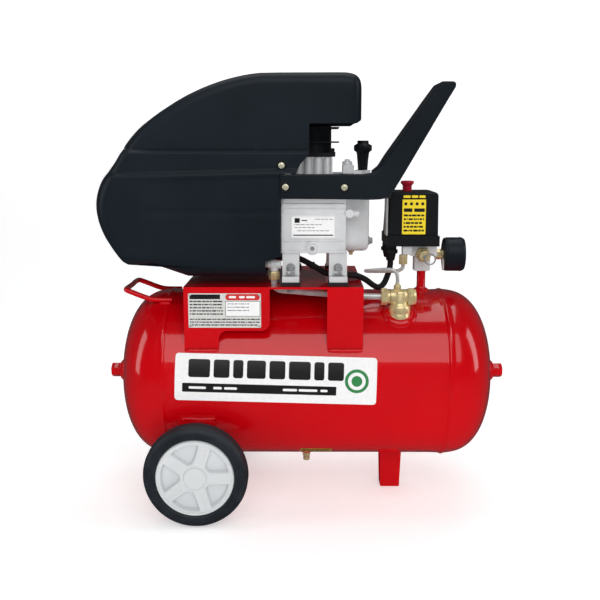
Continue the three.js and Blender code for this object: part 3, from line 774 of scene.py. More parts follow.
# ---------------------------------------------------------------- workshop
@dataclass
class Workshop:
    """Turns forms into dressed pieces that ride on the frame."""

    datum: Datum
    made: int = 0

    def mesh(self, name: str, form: Form) -> bpy.types.Mesh:
        """A form as a mesh with its faces pointing out.

        Args:
            name: The mesh's name.
            form: The form.

        Returns:
            The mesh.
        """
        mesh = bpy.data.meshes.new(name)
        mesh.from_pydata([self.datum.at(c) for c in form.corners], [], form.faces)
        bm = bmesh.new()
        bm.from_mesh(mesh)
        bmesh.ops.recalc_face_normals(bm, faces=bm.faces)
        bm.to_mesh(mesh)
        bm.free()
        return mesh

    def cut(self, piece: bpy.types.Object, tool: Form, operation: str) -> None:
        """Applies one boolean to a piece.

        Args:
            piece: The piece.
            tool: Form that it is cut with.
            operation: The boolean's own name.
        """
        cutter = bpy.data.objects.new("cutter", self.mesh("cutter", tool))
        bpy.context.scene.collection.objects.link(cutter)
        change = piece.modifiers.new("cut", "BOOLEAN")
        change.operation, change.object, change.solver = operation, cutter, "EXACT"
        bpy.context.view_layer.update()
        found = piece.evaluated_get(bpy.context.evaluated_depsgraph_get())
        mesh = bpy.data.meshes.new_from_object(found)
        piece.modifiers.clear()
        piece.data = mesh
        bpy.data.objects.remove(cutter)

    def build(self, name: str, form: Form, finish: Finish, body: str = "root", stands_for: Sequence[str] = (),
              cuts: Sequence[Form] = (), keep: Form | None = None, bevel: float = 0.0, crease: float = 35.0,
              thickness: float = 0.0) -> bpy.types.Object:
        """Makes a piece.

        Args:
            name: The piece's name.
            form: Its shape.
            finish: Its finish.
            body: The CAD body it rides on.
            stands_for: CAD nodes that it replaces.
            cuts: Forms taken away from it.
            keep: Form that it is trimmed to.
            bevel: Width of its rounded edges, in millimetres.
            crease: Angle in degrees over which an edge stays sharp.
            thickness: Thickness given to an open sheet, in millimetres.

        Returns:
            The piece.
        """
        piece = bpy.data.objects.new(name, self.mesh(name, form))
        bpy.context.scene.collection.objects.link(piece)
        for tool in cuts:
            self.cut(piece, tool, "DIFFERENCE")
        if keep is not None:
            self.cut(piece, keep, "INTERSECT")
        if thickness:
            shell = piece.modifiers.new("thickness", "SOLIDIFY")
            shell.thickness, shell.offset = thickness * MM, 1.0
            piece.modifiers.new("smooth", "NODES").node_group = self.smoothing()
        self.finish(piece, finish, bevel, crease)
        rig.ride(piece, body)
        if stands_for:
            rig.replaces(piece, *stands_for)
        self.made += 1
        log.info("%s: %d faces on %s", name, len(piece.data.polygons), body)
        return piece

    def finish(self, piece: bpy.types.Object, finish: Finish, bevel: float, crease: float,
               made: bool = True) -> None:
        """Rounds a piece's edges, smooths it and gives it its finish; a CAD mesh itself is left alone.

        Args:
            piece: The piece or CAD object.
            finish: Its finish.
            bevel: Width of its rounded edges, in millimetres.
            crease: Angle in degrees over which an edge stays sharp.
            made: Whether it was made here.
        """
        if made:
            piece.data.shade_smooth()
            piece.data.set_sharp_from_angle(angle=radians(crease))
            piece.data.materials.clear()
            piece.data.materials.append(finish.material())
        if bevel:
            edge = piece.modifiers.new("edge", "BEVEL")
            edge.width, edge.segments, edge.limit_method = bevel * MM, 3, "ANGLE"
            edge.angle_limit, edge.harden_normals = radians(crease), made
        if not made:
            piece.modifiers.new("smooth", "NODES").node_group = self.smoothing()
            for place in piece.material_slots:
                place.material = finish.material()
        if finish.slot:
            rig.slot(piece, finish.slot)

    def smoothing(self) -> bpy.types.NodeTree:
        """Modifier that shades smooth, but not over sharp edges; made once.

        Returns:
            The modifier's node group.
        """
        group = bpy.data.node_groups.get("smooth_by_angle")
        if group is None:
            group = bpy.data.node_groups.new("smooth_by_angle", "GeometryNodeTree")
            group.interface.new_socket("Geometry", in_out="INPUT", socket_type="NodeSocketGeometry")
            group.interface.new_socket("Geometry", in_out="OUTPUT", socket_type="NodeSocketGeometry")
            add, link = group.nodes.new, group.links.new
            source, sink = add("NodeGroupInput"), add("NodeGroupOutput")
            angle, shallow = add("GeometryNodeInputMeshEdgeAngle"), add("FunctionNodeCompare")
            faces, edges = add("GeometryNodeSetShadeSmooth"), add("GeometryNodeSetShadeSmooth")
            shallow.operation, edges.domain = "LESS_THAN", "EDGE"
            shallow.inputs[1].default_value = radians(SMOOTH_ANGLE)
            link(angle.outputs[0], shallow.inputs[0])
            link(source.outputs[0], faces.inputs[0])
            link(faces.outputs[0], edges.inputs[0])
            link(shallow.outputs[0], edges.inputs["Shade Smooth"])
            link(edges.outputs[0], sink.inputs[0])
        return group

    def dress(self, nodes: Sequence[str], finish: Finish, bevel: float = 0.6, crease: float = 32.0) -> None:
        """Gives CAD nodes that stay as they are softened edges and a finish.

        Args:
            nodes: The nodes' names.
            finish: Their finish.
            bevel: Width of their rounded edges, in millimetres.
            crease: Angle in degrees over which an edge is rounded.
        """
        for node in nodes:
            self.finish(frame["nodes"][node], finish, bevel, crease, made=False)
            log.info("%s: dressed", node)


def pan_screw(radius: float, height: float) -> Form:
    """Domed screw head along Z."""
    dome = [(radius * cos(a), height * (0.35 + 0.65 * sin(a))) for a in (pi / 2 * i / 6 for i in range(6))]
    return turned([(radius * 0.9, 0), (radius, height * 0.12), *dome, (radius * 0.14, height)], 28)


def cross_slot(radius: float, height: float) -> list[Form]:
    """The two arms of a cross recess, along Z.

    Args:
        radius: Radius of the screw's head.
        height: Its height.

    Returns:
        Two forms to cut with.
    """
    wide, deep = radius * 0.15, height * 0.35
    arm = block(-radius * 0.62, radius * 0.62, -wide, wide, deep, height * 1.4)
    return [arm, arm.under(Matrix.Rotation(pi / 2, 4, "Z"))]


def bolt(flats: float, height: float, washer: float) -> Form:
    """Hexagon head with a washer under it and a chamfered crown, along Z."""
    disc = turned([(washer * 0.45, 0), (washer, 0), (washer, 1.3), (washer * 0.45, 1.3)], 32, looped=True)
    return disc + hexagon(flats, 1.35, height, 1.2)


def fluted(flutes: int, share: float, low: float, high: float = 1e9) -> Callable[[Vector], Vector]:
    """Rule that flutes a turned piece between two heights.

    Args:
        flutes: Flutes in a turn.
        share: Their depth as a share of the radius.
        low: Height over which they start.
        high: Height at which they end.

    Returns:
        The rule.
    """

    def rule(corner: Vector) -> Vector:
        """A corner moved in or out.

        Args:
            corner: The corner.

        Returns:
            Its new place.
        """
        inside = low < corner.z < high
        reach = 1 + share * cos(flutes * atan2(corner.y, corner.x)) if inside else 1.0
        return Vector((corner.x * reach, corner.y * reach, corner.z))

    return rule


@dataclass
class Receiver:
    """Pressure vessel with its welds, plugs, lifting loop, foot and drain."""

    shop: Workshop
    radius: float = 123.0
    half: float = 200.0
    dome: float = 72.5
    fullness: float = 2.4
    boss_x: float = 0.0
    pad_x: float = 131.8
    pad_y: float = -70.0
    riser_x: float = 170.5
    leg_z: float = 56.2
    bracket_z: float = -41.0

    def stations(self) -> list[tuple[float, float]]:
        """Places along the axis with the plain radius there.

        Returns:
            Pairs (x, radius), from left to right.
        """
        power = 2 / self.fullness
        steps = 34
        dome = []
        for i in range(steps):
            a = radians(87.5 * i / (steps - 1))
            dome.append((self.half + 3 + (self.dome - 3) * sin(a) ** power, self.radius * cos(a) ** power))
        girth = [(self.half + d, self.radius) for d in (-14, -9, -7, -5.5, -4.5, -3.5, -2.5, -1.5, -0.7, 0,
                                                        0.7, 1.5)]
        barrel = [(x, self.radius) for x in range(0, int(self.half) - 14, 16)]
        right = barrel + girth + dome
        return [(-x, r) for x, r in reversed(right[1:])] + right

    def skin(self, x: float, turn: float) -> float:
        """Height of the girth and seam welds over the plain radius.

        Args:
            x: Place along the axis.
            turn: Angle about the axis, from the top.

        Returns:
            The height.
        """
        off = abs(abs(x) - self.half)
        ripple = 1 + 0.12 * sin(turn * 95) * cos(turn * 7)
        girth = 2.0 * exp(-((off / 2.7) ** 2)) * ripple + 0.5 * exp(-(((off - 7) / 5) ** 2))
        arc_from_seam = self.radius * (turn - radians(118))
        seam = 1.3 * exp(-((arc_from_seam / 3.2) ** 2)) if abs(x) < self.half else 0.0
        return girth + seam

    def build(self) -> None:
        """Makes the vessel and everything welded or screwed to it."""
        shop, sides = self.shop, 200
        rings = []
        for x, r in self.stations():
            turns = [2 * pi * i / sides for i in range(sides)]
            rings.append([Vector((x, (r + self.skin(x, t)) * sin(t), (r + self.skin(x, t)) * cos(t)))
                          for t in turns])
        shop.build("receiver_shell", lofted(rings), RED, stands_for=["tank_barrel", "tank_dome_left",
                   "tank_dome_right"], crease=60)
        for name, way, side in (("left", Way.LEFT, -1), ("right", Way.RIGHT, 1)):
            collar = turned([(8, -4), (19.4, -4), (19.6, 1.4), (18.4, 4), (15.4, 6.6), (13.6, 8.8), (8, 9.2)],
                            56)
            head = hexagon(18.6, 9, 23.4, 1.6) + turned([(7.6, 23.3), (5.8, 24.1), (2, 24.2)], 24)
            neck = turned([(10.4, 8.6), (10.4, 10.2), (9.4, 11), (6, 11)], 40)
            shop.build(f"plug_{name}_painted", (collar + neck + head).placed(side * (self.half + self.dome),
                                                                             0, 0, way),
                       RED, stands_for=[f"plug_{name}"])
        self.build_loop()
        tilt = Matrix.Rotation(asin(-self.pad_y / self.radius), 4, "X")
        pad = turned([(4, 119), (25, 119), (24.6, 123.2), (23.4, 124.9), (21.6, 125.2), (20.6, 126.1),
                      (17, 126.6),
                      (4, 126.6)], 72).warped(self.ripple)
        shop.build("valve_pad", pad.under(Matrix.Translation((self.pad_x, 0, 0)) @ tilt), RED)
        boss = turned([(4, 118), (12.6, 118), (12.4, 122.6), (10.8, 124.6), (9.2, 125.4), (9, 129.2),
                       (4, 129.3)], 48)
        shop.build("drain_boss", boss.placed(self.boss_x, 0, 0, Way.DOWN), RED)
        foot = turned([(3, 119), (13.5, 119), (12.8, 123.8), (10, 126.2), (7.4, 127.4), (6.4, 130),
                       (6.3, 151.6),
                       (7.1, 152), (7.1, 153.4), (3, 153.6)], 48)
        shop.build("riser_painted", foot.placed(self.riser_x, 0, 0), RED, stands_for=["riser_pipe"])
        self.build_drain()
        self.build_welds()
        shop.dress(["motor_platform", "foot_bracket"], RED, 0.9)
        shop.dress(["axle_bracket_front", "axle_bracket_rear"], RED, 0.7)

    def ripple(self, corner: Vector) -> Vector:
        """Fish-scale ripple of a round weld about Z.

        Args:
            corner: The corner.

        Returns:
            Its new place.
        """
        reach = hypot(corner.x, corner.y)
        if reach < 19:
            return corner
        return Vector((corner.x, corner.y, corner.z + 0.25 * sin(atan2(corner.y, corner.x) * 34)))

    def build_loop(self) -> None:
        """Lifting loop of bent rod at the wheel end, with its welds."""
        side = lambda y: [(-194, y, 116.8), (-212, y, 116.8), (-223, y, 117.8), (-232, y, 120.3)]
        corner = lambda y: [(-252, y, 128), (-259, y * 0.97, 130.6), (-261.4, y * 0.86, 131)]
        route = [*side(-50), *corner(-50), (-261.5, 0, 131), *reversed(corner(50)), *reversed(side(50))]
        self.shop.build("lifting_loop", swept(smooth_path(route, 9), 3.75), RED, stands_for=["tank_handle"],
                        crease=60)
        for name, y in (("front", -50), ("rear", 50)):
            out = 4.5 if y > 0 else -4.5
            beads = weld([(-212, y + out, 112.2), (-203, y + out, 112.6), (-195, y + out, 112.4)], 2.4)
            beads += weld([(-211, y - out, 115.4), (-203, y - out, 115.8), (-195, y - out, 115.6)], 2.4)
            self.shop.build(f"loop_weld_{name}", beads, RED, crease=60)

    def build_drain(self) -> None:
        """Drain valve: a brass body and its turning screw."""
        low = -self.radius - 6.8
        body = hexagon(12, 0.2, 5.6, 0.8) + turned([(3, 5.4), (4.4, 5.5), (4.4, 7), (3, 7)], 32)
        self.shop.build("drain_body_brass", body.placed(self.boss_x, 0, low, Way.DOWN), BRASS,
                        stands_for=["drain_body"])
        knurl = turned([(1.8, 0.3), (4.4, 0.3), (5, 1), (5, 5.6), (4.4, 6.3), (2.4, 6.4), (2.2, 6.6)], 60)
        grip = knurl.warped(self.knurled).placed(self.boss_x, 0, low - 7, Way.DOWN)
        self.shop.build("drain_screw_brass", grip, BRASS, "drain", ["drain_screw"])

    def knurled(self, corner: Vector) -> Vector:
        """Knurl of the drain screw: every other edge of its rim is set in.

        Args:
            corner: The corner.

        Returns:
            Its new place.
        """
        edge = round(atan2(corner.y, corner.x) / (2 * pi) * 60) % 2
        reach = 1 - 0.06 * edge * (hypot(corner.x, corner.y) > 4.6)
        return Vector((corner.x * reach, corner.y * reach, corner.z))

    def build_welds(self) -> None:
        """Welds where the platform's legs and the axle brackets meet the vessel."""
        at = lambda z, out: -sqrt(max(0.0, (self.radius + out) ** 2 - z**2))
        for sign, side in ((1, "front"), (-1, "rear")):
            beads = Form()
            y, z = sign * at(self.leg_z, 1.0), self.leg_z
            for x0, x1 in ((-169, -122), (29, 77)):
                beads += weld([(x0, y, z), ((x0 + x1) / 2, y, z - 0.4), (x1, y, z)], 2.6)
            self.shop.build(f"platform_weld_{side}", beads, RED, crease=60)
            y, z = sign * at(self.bracket_z, 0.8), self.bracket_z
            bead = weld([(-178, y, z), (-165, y, z + 0.8), (-150, y, z), (-128, y, z + 0.5)], 2.4)
            self.shop.build(f"bracket_weld_{side}", bead, RED, crease=60)


@dataclass
class Label:
    """Print on a surface, laid out in millimetres about its own middle."""

    shop: Workshop
    name: str
    place: Callable[[float, float, float], Vector]
    columns: int = 2
    base: float = 0.25
    pitch: float = 0.12
    thickness: float = 0.1

    def area(self, part: str, rows: Sequence[Sequence[tuple[float, ...]]], finish: Finish, layer: int,
             columns: int | None = None) -> None:
        """One colour of the print.

        Args:
            part: What the colour stands for.
            rows: Lists of rows, each filled on its own.
            finish: The ink or film.
            layer: Place in the stack, 0 lowest.
            columns: Cells along u.
        """
        form = Form()
        lift = self.base + self.pitch * layer
        for patch in rows:
            form += filled(patch, columns or self.columns, lambda u, v: self.place(u, v, lift))
        self.shop.build(f"{self.name}_{part}", form, finish, thickness=self.thickness, crease=60)

    def print_lines(self, seed: int, u0: float, u1: float, top: float, pitch: float, count: int,
                    height: float,
                    finish: Finish) -> None:
        """Lines of plain dashes in place of small print."""
        rows = [d for i in range(count) for d in dashes(seed + i, u0, u1, top - i * pitch, height)]
        self.area(f"print_{seed}", rows, finish, 2, 1)


@dataclass
class Labels:
    """All plain labels on the unit."""

    shop: Workshop
    radius: float = 123.0

    def build(self) -> None:
        """Makes each label."""
        self.tank_label()
        self.rating_plate()
        self.switch_label()
        self.case_sticker()
        self.gold_sticker()

    def wrap(self, mid_x: float, mid_arc: float, tilt: float) -> Callable[[float, float, float], Vector]:
        """Rule that lays a label on the front of the receiver, tilted by an angle in degrees.

        Args:
            mid_x: Middle of the label along the axis.
            mid_arc: Middle of the label around the skin.
            tilt: The angle.

        Returns:
            The rule.
        """
        ca, sa = cos(radians(tilt)), sin(radians(tilt))

        def place(u: float, v: float, lift: float) -> Vector:
            """A place on the label, as a corner on the receiver.

            Args:
                u: Place along the label.
                v: Place across it.
                lift: Height over the skin.

            Returns:
                The corner.
            """
            x = mid_x + u * ca - v * sa
            turn = (mid_arc + u * sa + v * ca) / self.radius
            reach = self.radius + lift
            return Vector((x, -reach * cos(turn), reach * sin(turn)))

        return place

    def tank_label(self) -> None:
        """Large white label with a plain bar pattern, a dark band and a round badge."""
        label = Label(self.shop, "tank_label", self.wrap(-42.8, 18.6, -1.45), 6)
        label.area("film", [rounded(279, 66, 4.5, 4, 16)], WHITE_FILM, 0, 8)
        blocks, u = [], -121.0
        for width in (30, 22, 14, 26, 22, 30, 14, 22):
            blocks.append(shifted(rounded(width, 25, 3.2, 3, 6), u + width / 2, 12.5))
            u += width + 5.0
        label.area("bars", blocks, BLACK_INK, 1, 3)
        label.area("band", [shifted(rounded(213, 12.5, 1.0, 2, 4), -22.5, -14.5)], BLACK_INK, 1, 8)
        label.area("band_marks", [shifted(rounded(w, 3.4, 1.6, 3, 2), u, -14.5) for u, w in
                                  ((-108, 24), (-80, 12), (-62, 18), (20, 20), (45, 26), (67, 10))],
                   WHITE_FILM, 2)
        disc = lambda r: shifted([(r * sin(a), -r * cos(a), r * cos(a)) for a in
                                  (pi * (i / 28 - 0.5) for i in range(29))], 112, 0)
        label.area("badge_ring", [disc(16.5)], GREEN_INK, 1, 6)
        label.area("badge_field", [disc(12.2)], WHITE_FILM, 2, 6)
        label.area("badge_spot", [disc(7.4)], GREEN_INK, 3, 4)

    def rating_plate(self) -> None:
        """Silver plate on the platform's front panel, with a red strip and a small panel."""
        flat = lambda u, v, lift: Vector((-113.0 + u, -109.0 - lift, 112.5 + v))
        label = Label(self.shop, "rating_plate", flat)
        label.area("foil", [rounded(100, 48, 1.5, 3, 2)], SILVER_FILM, 0)
        label.area("header", [shifted(rounded(42, 6.5, 0.4, 2, 2), -27, 19.2)], BLACK_INK, 1)
        label.area("strip", [shifted(rounded(47, 8.6, 3.6, 4, 2), 25, 18.8)], RED_INK, 1)
        label.area("strip_mark", [shifted(rounded(w, 3, 1.3, 3, 2), u, 18.8) for u, w in
                                  ((11, 10), (24, 8), (36, 12))], WHITE_FILM, 2)
        label.area("panel_edge", [shifted(rounded(48, 21.5, 0.8, 2, 2), 25, 2.6)], BLACK_INK, 1)
        label.area("panel", [shifted(rounded(46.8, 20.3, 0.6, 2, 2), 25, 2.6)], WHITE_FILM, 2)
        label.print_lines(10, -48, -2.5, 12.8, 4.4, 5, 1.7, BLACK_INK)
        label.print_lines(30, -48, 48, -12.2, 4.0, 3, 1.5, BLACK_INK)
        rows = [d for i in range(3) for d in dashes(50 + i, 4, 34, 9.4 - i * 4.6, 1.1)]
        label.area("panel_print", rows, GREY_INK, 3, 1)
        for i, (u, v) in enumerate(((-47.6, 21.6), (47.6, 21.6), (-47.6, -21.6), (47.6, -21.6))):
            rivet = turned([(1.7, 0), (1.6, 0.5), (1.0, 0.9), (0.3, 1.0)], 20)
            self.shop.build(f"plate_rivet_{i + 1}", rivet.placed(-113 + u, -109.3, 112.5 + v, Way.FRONT),
                            ALUMINIUM)

    def switch_label(self) -> None:
        """Yellow label on the switch cover, with a dark header above it."""
        flat = lambda u, v, lift: Vector((153.0 + u, -40.0 - lift, 236.0 + v))
        label = Label(self.shop, "switch_label", flat)
        label.area("film", [shifted(rounded(33.5, 49.6, 0.8, 2, 4), 0, -0.3)], YELLOW_FILM, 0)
        label.area("header", [shifted(rounded(w, 3.6, 0.8, 2, 2), u, 28.6) for u, w in
                              ((-10.5, 10), (0.8, 9), (11.4, 8.6))], YELLOW_FILM, 0)
        label.area("bold", [shifted(rounded(w, h, 0.5, 2, 2), u, v) for u, v, w, h in
                            ((-12, 18.4, 4, 4), (-4, 18.4, 4, 4), (4, 18.4, 4, 4), (12, 18.4, 4, 4),
                             (-8.6, 9.4, 12, 5), (7.6, 9.4, 15, 5))], BLACK_INK, 1)
        label.print_lines(70, -14.5, 14.5, 1.9, 5.4, 5, 2.7, BLACK_INK)

    def case_sticker(self) -> None:
        """White sticker on the crankcase's front."""
        flat = lambda u, v, lift: Vector((8.6 + u, -85.0 - lift, 225.4 + v))
        label = Label(self.shop, "case_sticker", flat)
        label.area("film", [rounded(59, 29, 0.6, 2, 2)], WHITE_FILM, 0)
        label.area("mark", [shifted(rounded(7, 6.5, 0.4, 2, 2), -22, 9), shifted(rounded(8, 1.4, 0.6, 2, 2),
                                                                                 -12, 9)],
                   BLACK_INK, 1)
        rows = [d for i, (u0, u1, v) in enumerate(((2, 27, 10.8), (-26, 12, 3.2), (-25, 2, -0.8),
                                                   (-22, 24, -5.2)))
                for d in dashes(90 + i, u0, u1, v, 0.9)]
        label.area("print", rows, GREY_INK, 1, 1)
        label.area("rule", [shifted(rounded(55, 1.6, 0.3, 2, 2), 0, -11.3)], BLACK_INK, 1)

    def gold_sticker(self) -> None:
        """Small gold sticker low on the receiver."""
        label = Label(self.shop, "gold_sticker", self.wrap(14, -124, -2), 4)
        label.area("film", [rounded(46, 17, 1.2, 3, 8)], GOLD_FILM, 0)
        rows = [d for i in range(3) for d in dashes(110 + i, -20, 20, 5 - i * 5, 1.6)]
        label.area("print", rows, BLACK_INK, 1, 1)


@dataclass
class Wheel:
    """Solid tyre on a moulded hub with five twin-ribbed spokes."""

    shop: Workshop
    name: str
    way: Way
    radius: float = 72.5
    width: float = 34.0
    rim: float = 54.0
    cap: float = 14.5
    spokes: int = 5
    pocket: float = 7.5

    def face(self, r: float, turn: float) -> float:
        """Depth of the hub's outer face below its highest plane.

        Args:
            r: Distance from the axle.
            turn: Angle about the axle.

        Returns:
            The depth.
        """
        ease = lambda d, span: (lambda t: t * t * (3 - 2 * t))(min(1.0, max(0.0, d / span)))
        step = 2 * pi / self.spokes
        off = abs((turn - pi + step / 2) % step - step / 2)
        across = r * sin(off)
        inside = min(across - 8.0 - 0.8 * exp(-(((r - 20) / 5) ** 2)), r - 20.2, 47.6 - r)
        depth = 2.2 + self.pocket * ease(inside, 2.4)
        ribs = ease(r - 21, 3) * ease(49 - r, 3)
        depth -= 0.9 * ribs * exp(-(((across - 5.2) / 1.9) ** 2))
        depth += 0.5 * ribs * exp(-((across / 1.3) ** 2))
        depth -= 2.0 * ease(r - 49.2, 1.6) * (1 - ease(r - 52.4, 1.4))
        depth -= 1.9 * (1 - ease(r - self.cap, 1.1))
        depth += 0.8 * exp(-(((r - self.cap - 1.8) / 0.9) ** 2))
        return depth

    def build(self) -> None:
        """Makes the tyre and the hub."""
        middle = self.shop.datum.middle(f"tyre_{self.name}")
        half = self.width / 2
        spot = (middle.x, middle.y, middle.z)
        edge = [(54.4, half - 4.5), (54.8, half - 2.6), (56.2, half - 1.2), (59, half - 0.6),
                (60.4, half - 1.0),
                (61.6, half - 0.5), (65, half - 1.0), (68.4, half - 2.8), (70.6, half - 5.6),
                (71.9, half - 9)]
        tread = [(72.4, half - 11)]
        for d in (4.2, 0.0, -4.2):
            tread += [(self.radius, d + 1.1), (71.5, d + 0.7), (71.5, d - 0.7), (self.radius, d - 1.1)]
        tread.append((72.4, -half + 11))
        profile = edge + tread + [(r, -d) for r, d in reversed(edge)]
        tyre = turned(profile, 128, looped=True)
        body = f"wheel_{self.name}"
        self.shop.build(f"tyre_{self.name}_moulded", tyre.placed(*spot, self.way), TYRE, body,
                        [f"tyre_{self.name}"], crease=50)
        sides = 240
        turns = [2 * pi * i / sides for i in range(sides)]
        reach = [0.6, 4, 8, 11, 12.6, 13.6, 14.3, 15, 15.6, 16.2, 17, 18, 19, 20, 20.8, 21.6, 22.4, 23.2,
                 24.5, 26, 28,
                 30, 32, 34, 36, 38, 40, 42, 43.4, 44.4, 45.2, 46, 46.8, 47.8, 49, 49.8, 50.6, 51.4, 52.4,
                 53.2, 53.8]
        mirror = pi if self.way is Way.FRONT else 0.0
        rings = [[Vector((r * cos(t), r * sin(t), half - self.face(r, t + mirror))) for t in turns]
                 for r in reach]
        back = [(self.rim, half - 4), (self.rim, -half + 5), (50, -half + 5), (47, -half + 6), (46, -1.5),
                (20, -2.5),
                (15, -half + 1.5), (8, -half + 1)]
        rings += [[Vector((r * cos(t), r * sin(t), d)) for t in turns] for r, d in back]
        self.shop.build(f"hub_{self.name}_moulded", lofted(rings).placed(*spot, self.way), HUB, body,
                        [f"hub_{self.name}"], crease=50)


@dataclass
class Shrouds:
    """Two-piece moulded fan shroud with its belt steps, side panel and screws."""

    shop: Workshop
    wall: float = 3.0
    belt: float = 331.0
    half_depth: float = 100.0
    belt_step: float = 5.0
    ledge_step: float = 6.0

    def curve(self, a: Outline, steps: int = 22) -> Outline:
        """Cubic curve through four control points, without its first point.

        Args:
            a: The control points.
            steps: Steps along the curve.

        Returns:
            Points along the curve.
        """
        found = []
        for i in range(1, steps + 1):
            t = i / steps
            w = ((1 - t) ** 3, 3 * t * (1 - t) ** 2, 3 * t * t * (1 - t), t**3)
            found.append((sum(k * p[0] for k, p in zip(w, a)), sum(k * p[1] for k, p in zip(w, a))))
        return found

    def edges(self, outline: Outline, z: float) -> list[float]:
        """Every x where an outline crosses a height.

        Args:
            outline: The outline.
            z: The height.

        Returns:
            The crossings.
        """
        found = []
        for (x0, z0), (x1, z1) in zip(outline, outline[1:] + outline[:1]):
            if min(z0, z1) <= z <= max(z0, z1) and z0 != z1:
                found.append(x0 + (x1 - x0) * (z - z0) / (z1 - z0))
        return found

    def margin(self, outline: Outline, x: float, z: float) -> float:
        """Distance from a place to an outline.

        Args:
            outline: The outline.
            x: The place's x.
            z: The place's z.

        Returns:
            The distance.
        """
        best = 1e9
        for (x0, z0), (x1, z1) in zip(outline, outline[1:] + outline[:1]):
            dx, dz = x1 - x0, z1 - z0
            t = max(0.0, min(1.0, ((x - x0) * dx + (z - z0) * dz) / (dx * dx + dz * dz)))
            best = min(best, hypot(x - x0 - t * dx, z - z0 - t * dz))
        return best

    def lower_outline(self) -> Outline:
        """Outline of the lower piece.

        Returns:
            Points in X and Z.
        """
        upper = self.curve([(-273.5, 296), (-283, 281), (-288, 266), (-288, 251)], 14)
        lower = self.curve([(-288, 251), (-288, 226), (-276, 203), (-262, 184.5)], 18)
        corner = self.curve([(-262, 184.5), (-257, 177.5), (-253, 172.5), (-244, 172.3)], 8)
        return [(60, 157), (60, 360), (-251, 360), (-251, 333), (-254, 327.5), (-273.5, 296), *upper, *lower,
                *corner,
                (-209, 172), (-165, 157)]

    def upper_outline(self) -> Outline:
        """Outline of the upper piece.

        Returns:
            Points in X and Z.
        """
        crown = self.curve([(-58, 433.2), (-118, 430), (-206, 395), (-249, 330.5)], 34)
        corner = self.curve([(74, 410), (74, 428), (68, 433.5), (46, 433.5)], 10)
        return [(74, 290), (74, 410), *corner, (-58, 433.2), *crown, (-271, 290)]

    def lower_depth(self, spot: Vector) -> float:
        """Half depth of the lower piece: drawn in over the belt's step and again at its upper ledge.

        Args:
            spot: Place on the side wall.

        Returns:
            The half depth.
        """
        ease = lambda t: (lambda s: s * s * (3 - 2 * s))(min(1.0, max(0.0, t)))
        line = 296 + (spot.x + 287) * (302.5 - 296) / 250
        belt = max(0.0, min(1.0, (spot.z - line + 3) / 5.5))
        ledge = max(0.0, min(1.0, (spot.z - 325.8) / 5.2))
        panel = ease((spot.x + 226) / 9) * ease((line - 5 - spot.z) / 6)
        crease = exp(-(((spot.z - 246) / 2.2) ** 2)) * ease((spot.x + 226) / 9)
        steps = self.belt_step * belt + self.ledge_step * ledge
        return self.half_depth - steps - 1.1 * panel - 0.8 * crease

    def upper_depth(self, spot: Vector) -> float:
        """Half depth of the upper piece, with a shallow draft."""
        return 89.2 - (spot.z - 331) * 0.014

    def build(self) -> None:
        """Makes both pieces, the side panels' steps and the screws."""
        shop = self.shop
        keep = [(-400, 100), (-57, 100), (-57, 179), (-36, 186), (-36, 298.3), (-15, 298.3), (-9, 311),
                (3, 325),
                (3, self.belt), (-400, self.belt)]
        vents = [block(-252, -228, i * 20 - 5, i * 20 + 5, 150, 185) for i in range(-3, 4)]
        outline = self.lower_outline()
        inner = self.body(outline, self.lower_depth, 16, inset=self.wall, step=6, fine=(290, 334))
        lower = self.body(outline, self.lower_depth, 16, fine=(290, 334))
        shop.build("shroud_lower_moulded", lower, SHROUD, stands_for=["shroud_lower"],
                   cuts=[inner, *vents], keep=prism(keep, -200, 200), bevel=0.5, crease=55)
        outline = self.upper_outline()
        low = self.belt + 0.15
        keep = [(-400, low), (3, low), (3, 365.5), (67, 365.5), (76, 371.5), (76, 460), (-400, 460)]
        inner = self.body(outline, self.upper_depth, 15, inset=self.wall, step=6)
        upper = self.body(outline, self.upper_depth, 15)
        shop.build("shroud_upper_moulded", upper, SHROUD, stands_for=["shroud_upper"], cuts=[inner],
                   keep=prism(keep, -200, 200), bevel=0.5, crease=55)
        self.build_screws()

    def body(self, outline: Outline, depth: Callable[[Vector], float], rim: float, inset: float = 0.0,
             step: float = 4.0, fine: tuple[float, float] = (0, 0), bulge: float = 16.0,
             sill: float = 168.0) -> Form:
        """Closed body of a moulding as level loops, with a rounded rim all along its outline.

        Args:
            outline: Points in X and Z.
            depth: Half the depth at a place.
            rim: Radius of the rim.
            inset: How far the walls are moved in.
            step: Height between loops.
            fine: Heights between which the loops are 1 mm apart.
            bulge: How far the end wall swells out in plan.
            sill: Height of the bend under the side walls.

        Returns:
            A closed form.
        """
        low, high = min(z for _, z in outline) + inset + 0.02, max(z for _, z in outline) - inset - 0.02
        bends = [rim * (1 - cos(pi / 2 * i / 9)) for i in range(10)]
        count = int((high - low) / step)
        levels = [low + (high - low) * i / count for i in range(count + 1)]
        levels += [low + d for d in bends] + [high - d for d in bends]
        levels += [sill - 0.3, sill + 0.3]
        levels = [z for z in levels if not fine[0] <= z <= fine[1]] + list(range(int(fine[0]),
                                                                                 int(fine[1]) + 1))
        levels = sorted({round(z, 2) for z in levels if low <= z <= high})
        ends = [rim * (1 - sin(pi / 2 * i / 8)) for i in range(8, -1, -1)]
        across = 54
        rings = []
        for z in levels:
            near = [self.edges(outline, max(low - inset, min(high + inset, z + d))) for d in (-inset, 0,
                                                                                              inset)]
            x0 = max(min(found) for found in near) + inset
            x1 = min(max(found) for found in near) - inset
            end = min(rim, 0.4 * (x1 - x0))
            flat = [x0 + end + (x1 - x0 - 2 * end) * i / across for i in range(1, across)]
            bend = [end * d / rim for d in ends]
            ring = []
            for x in [*[x0 + d for d in bend], *flat, *[x1 - d for d in reversed(bend)]]:
                short = max(0.0, rim - self.margin(outline, x, z))
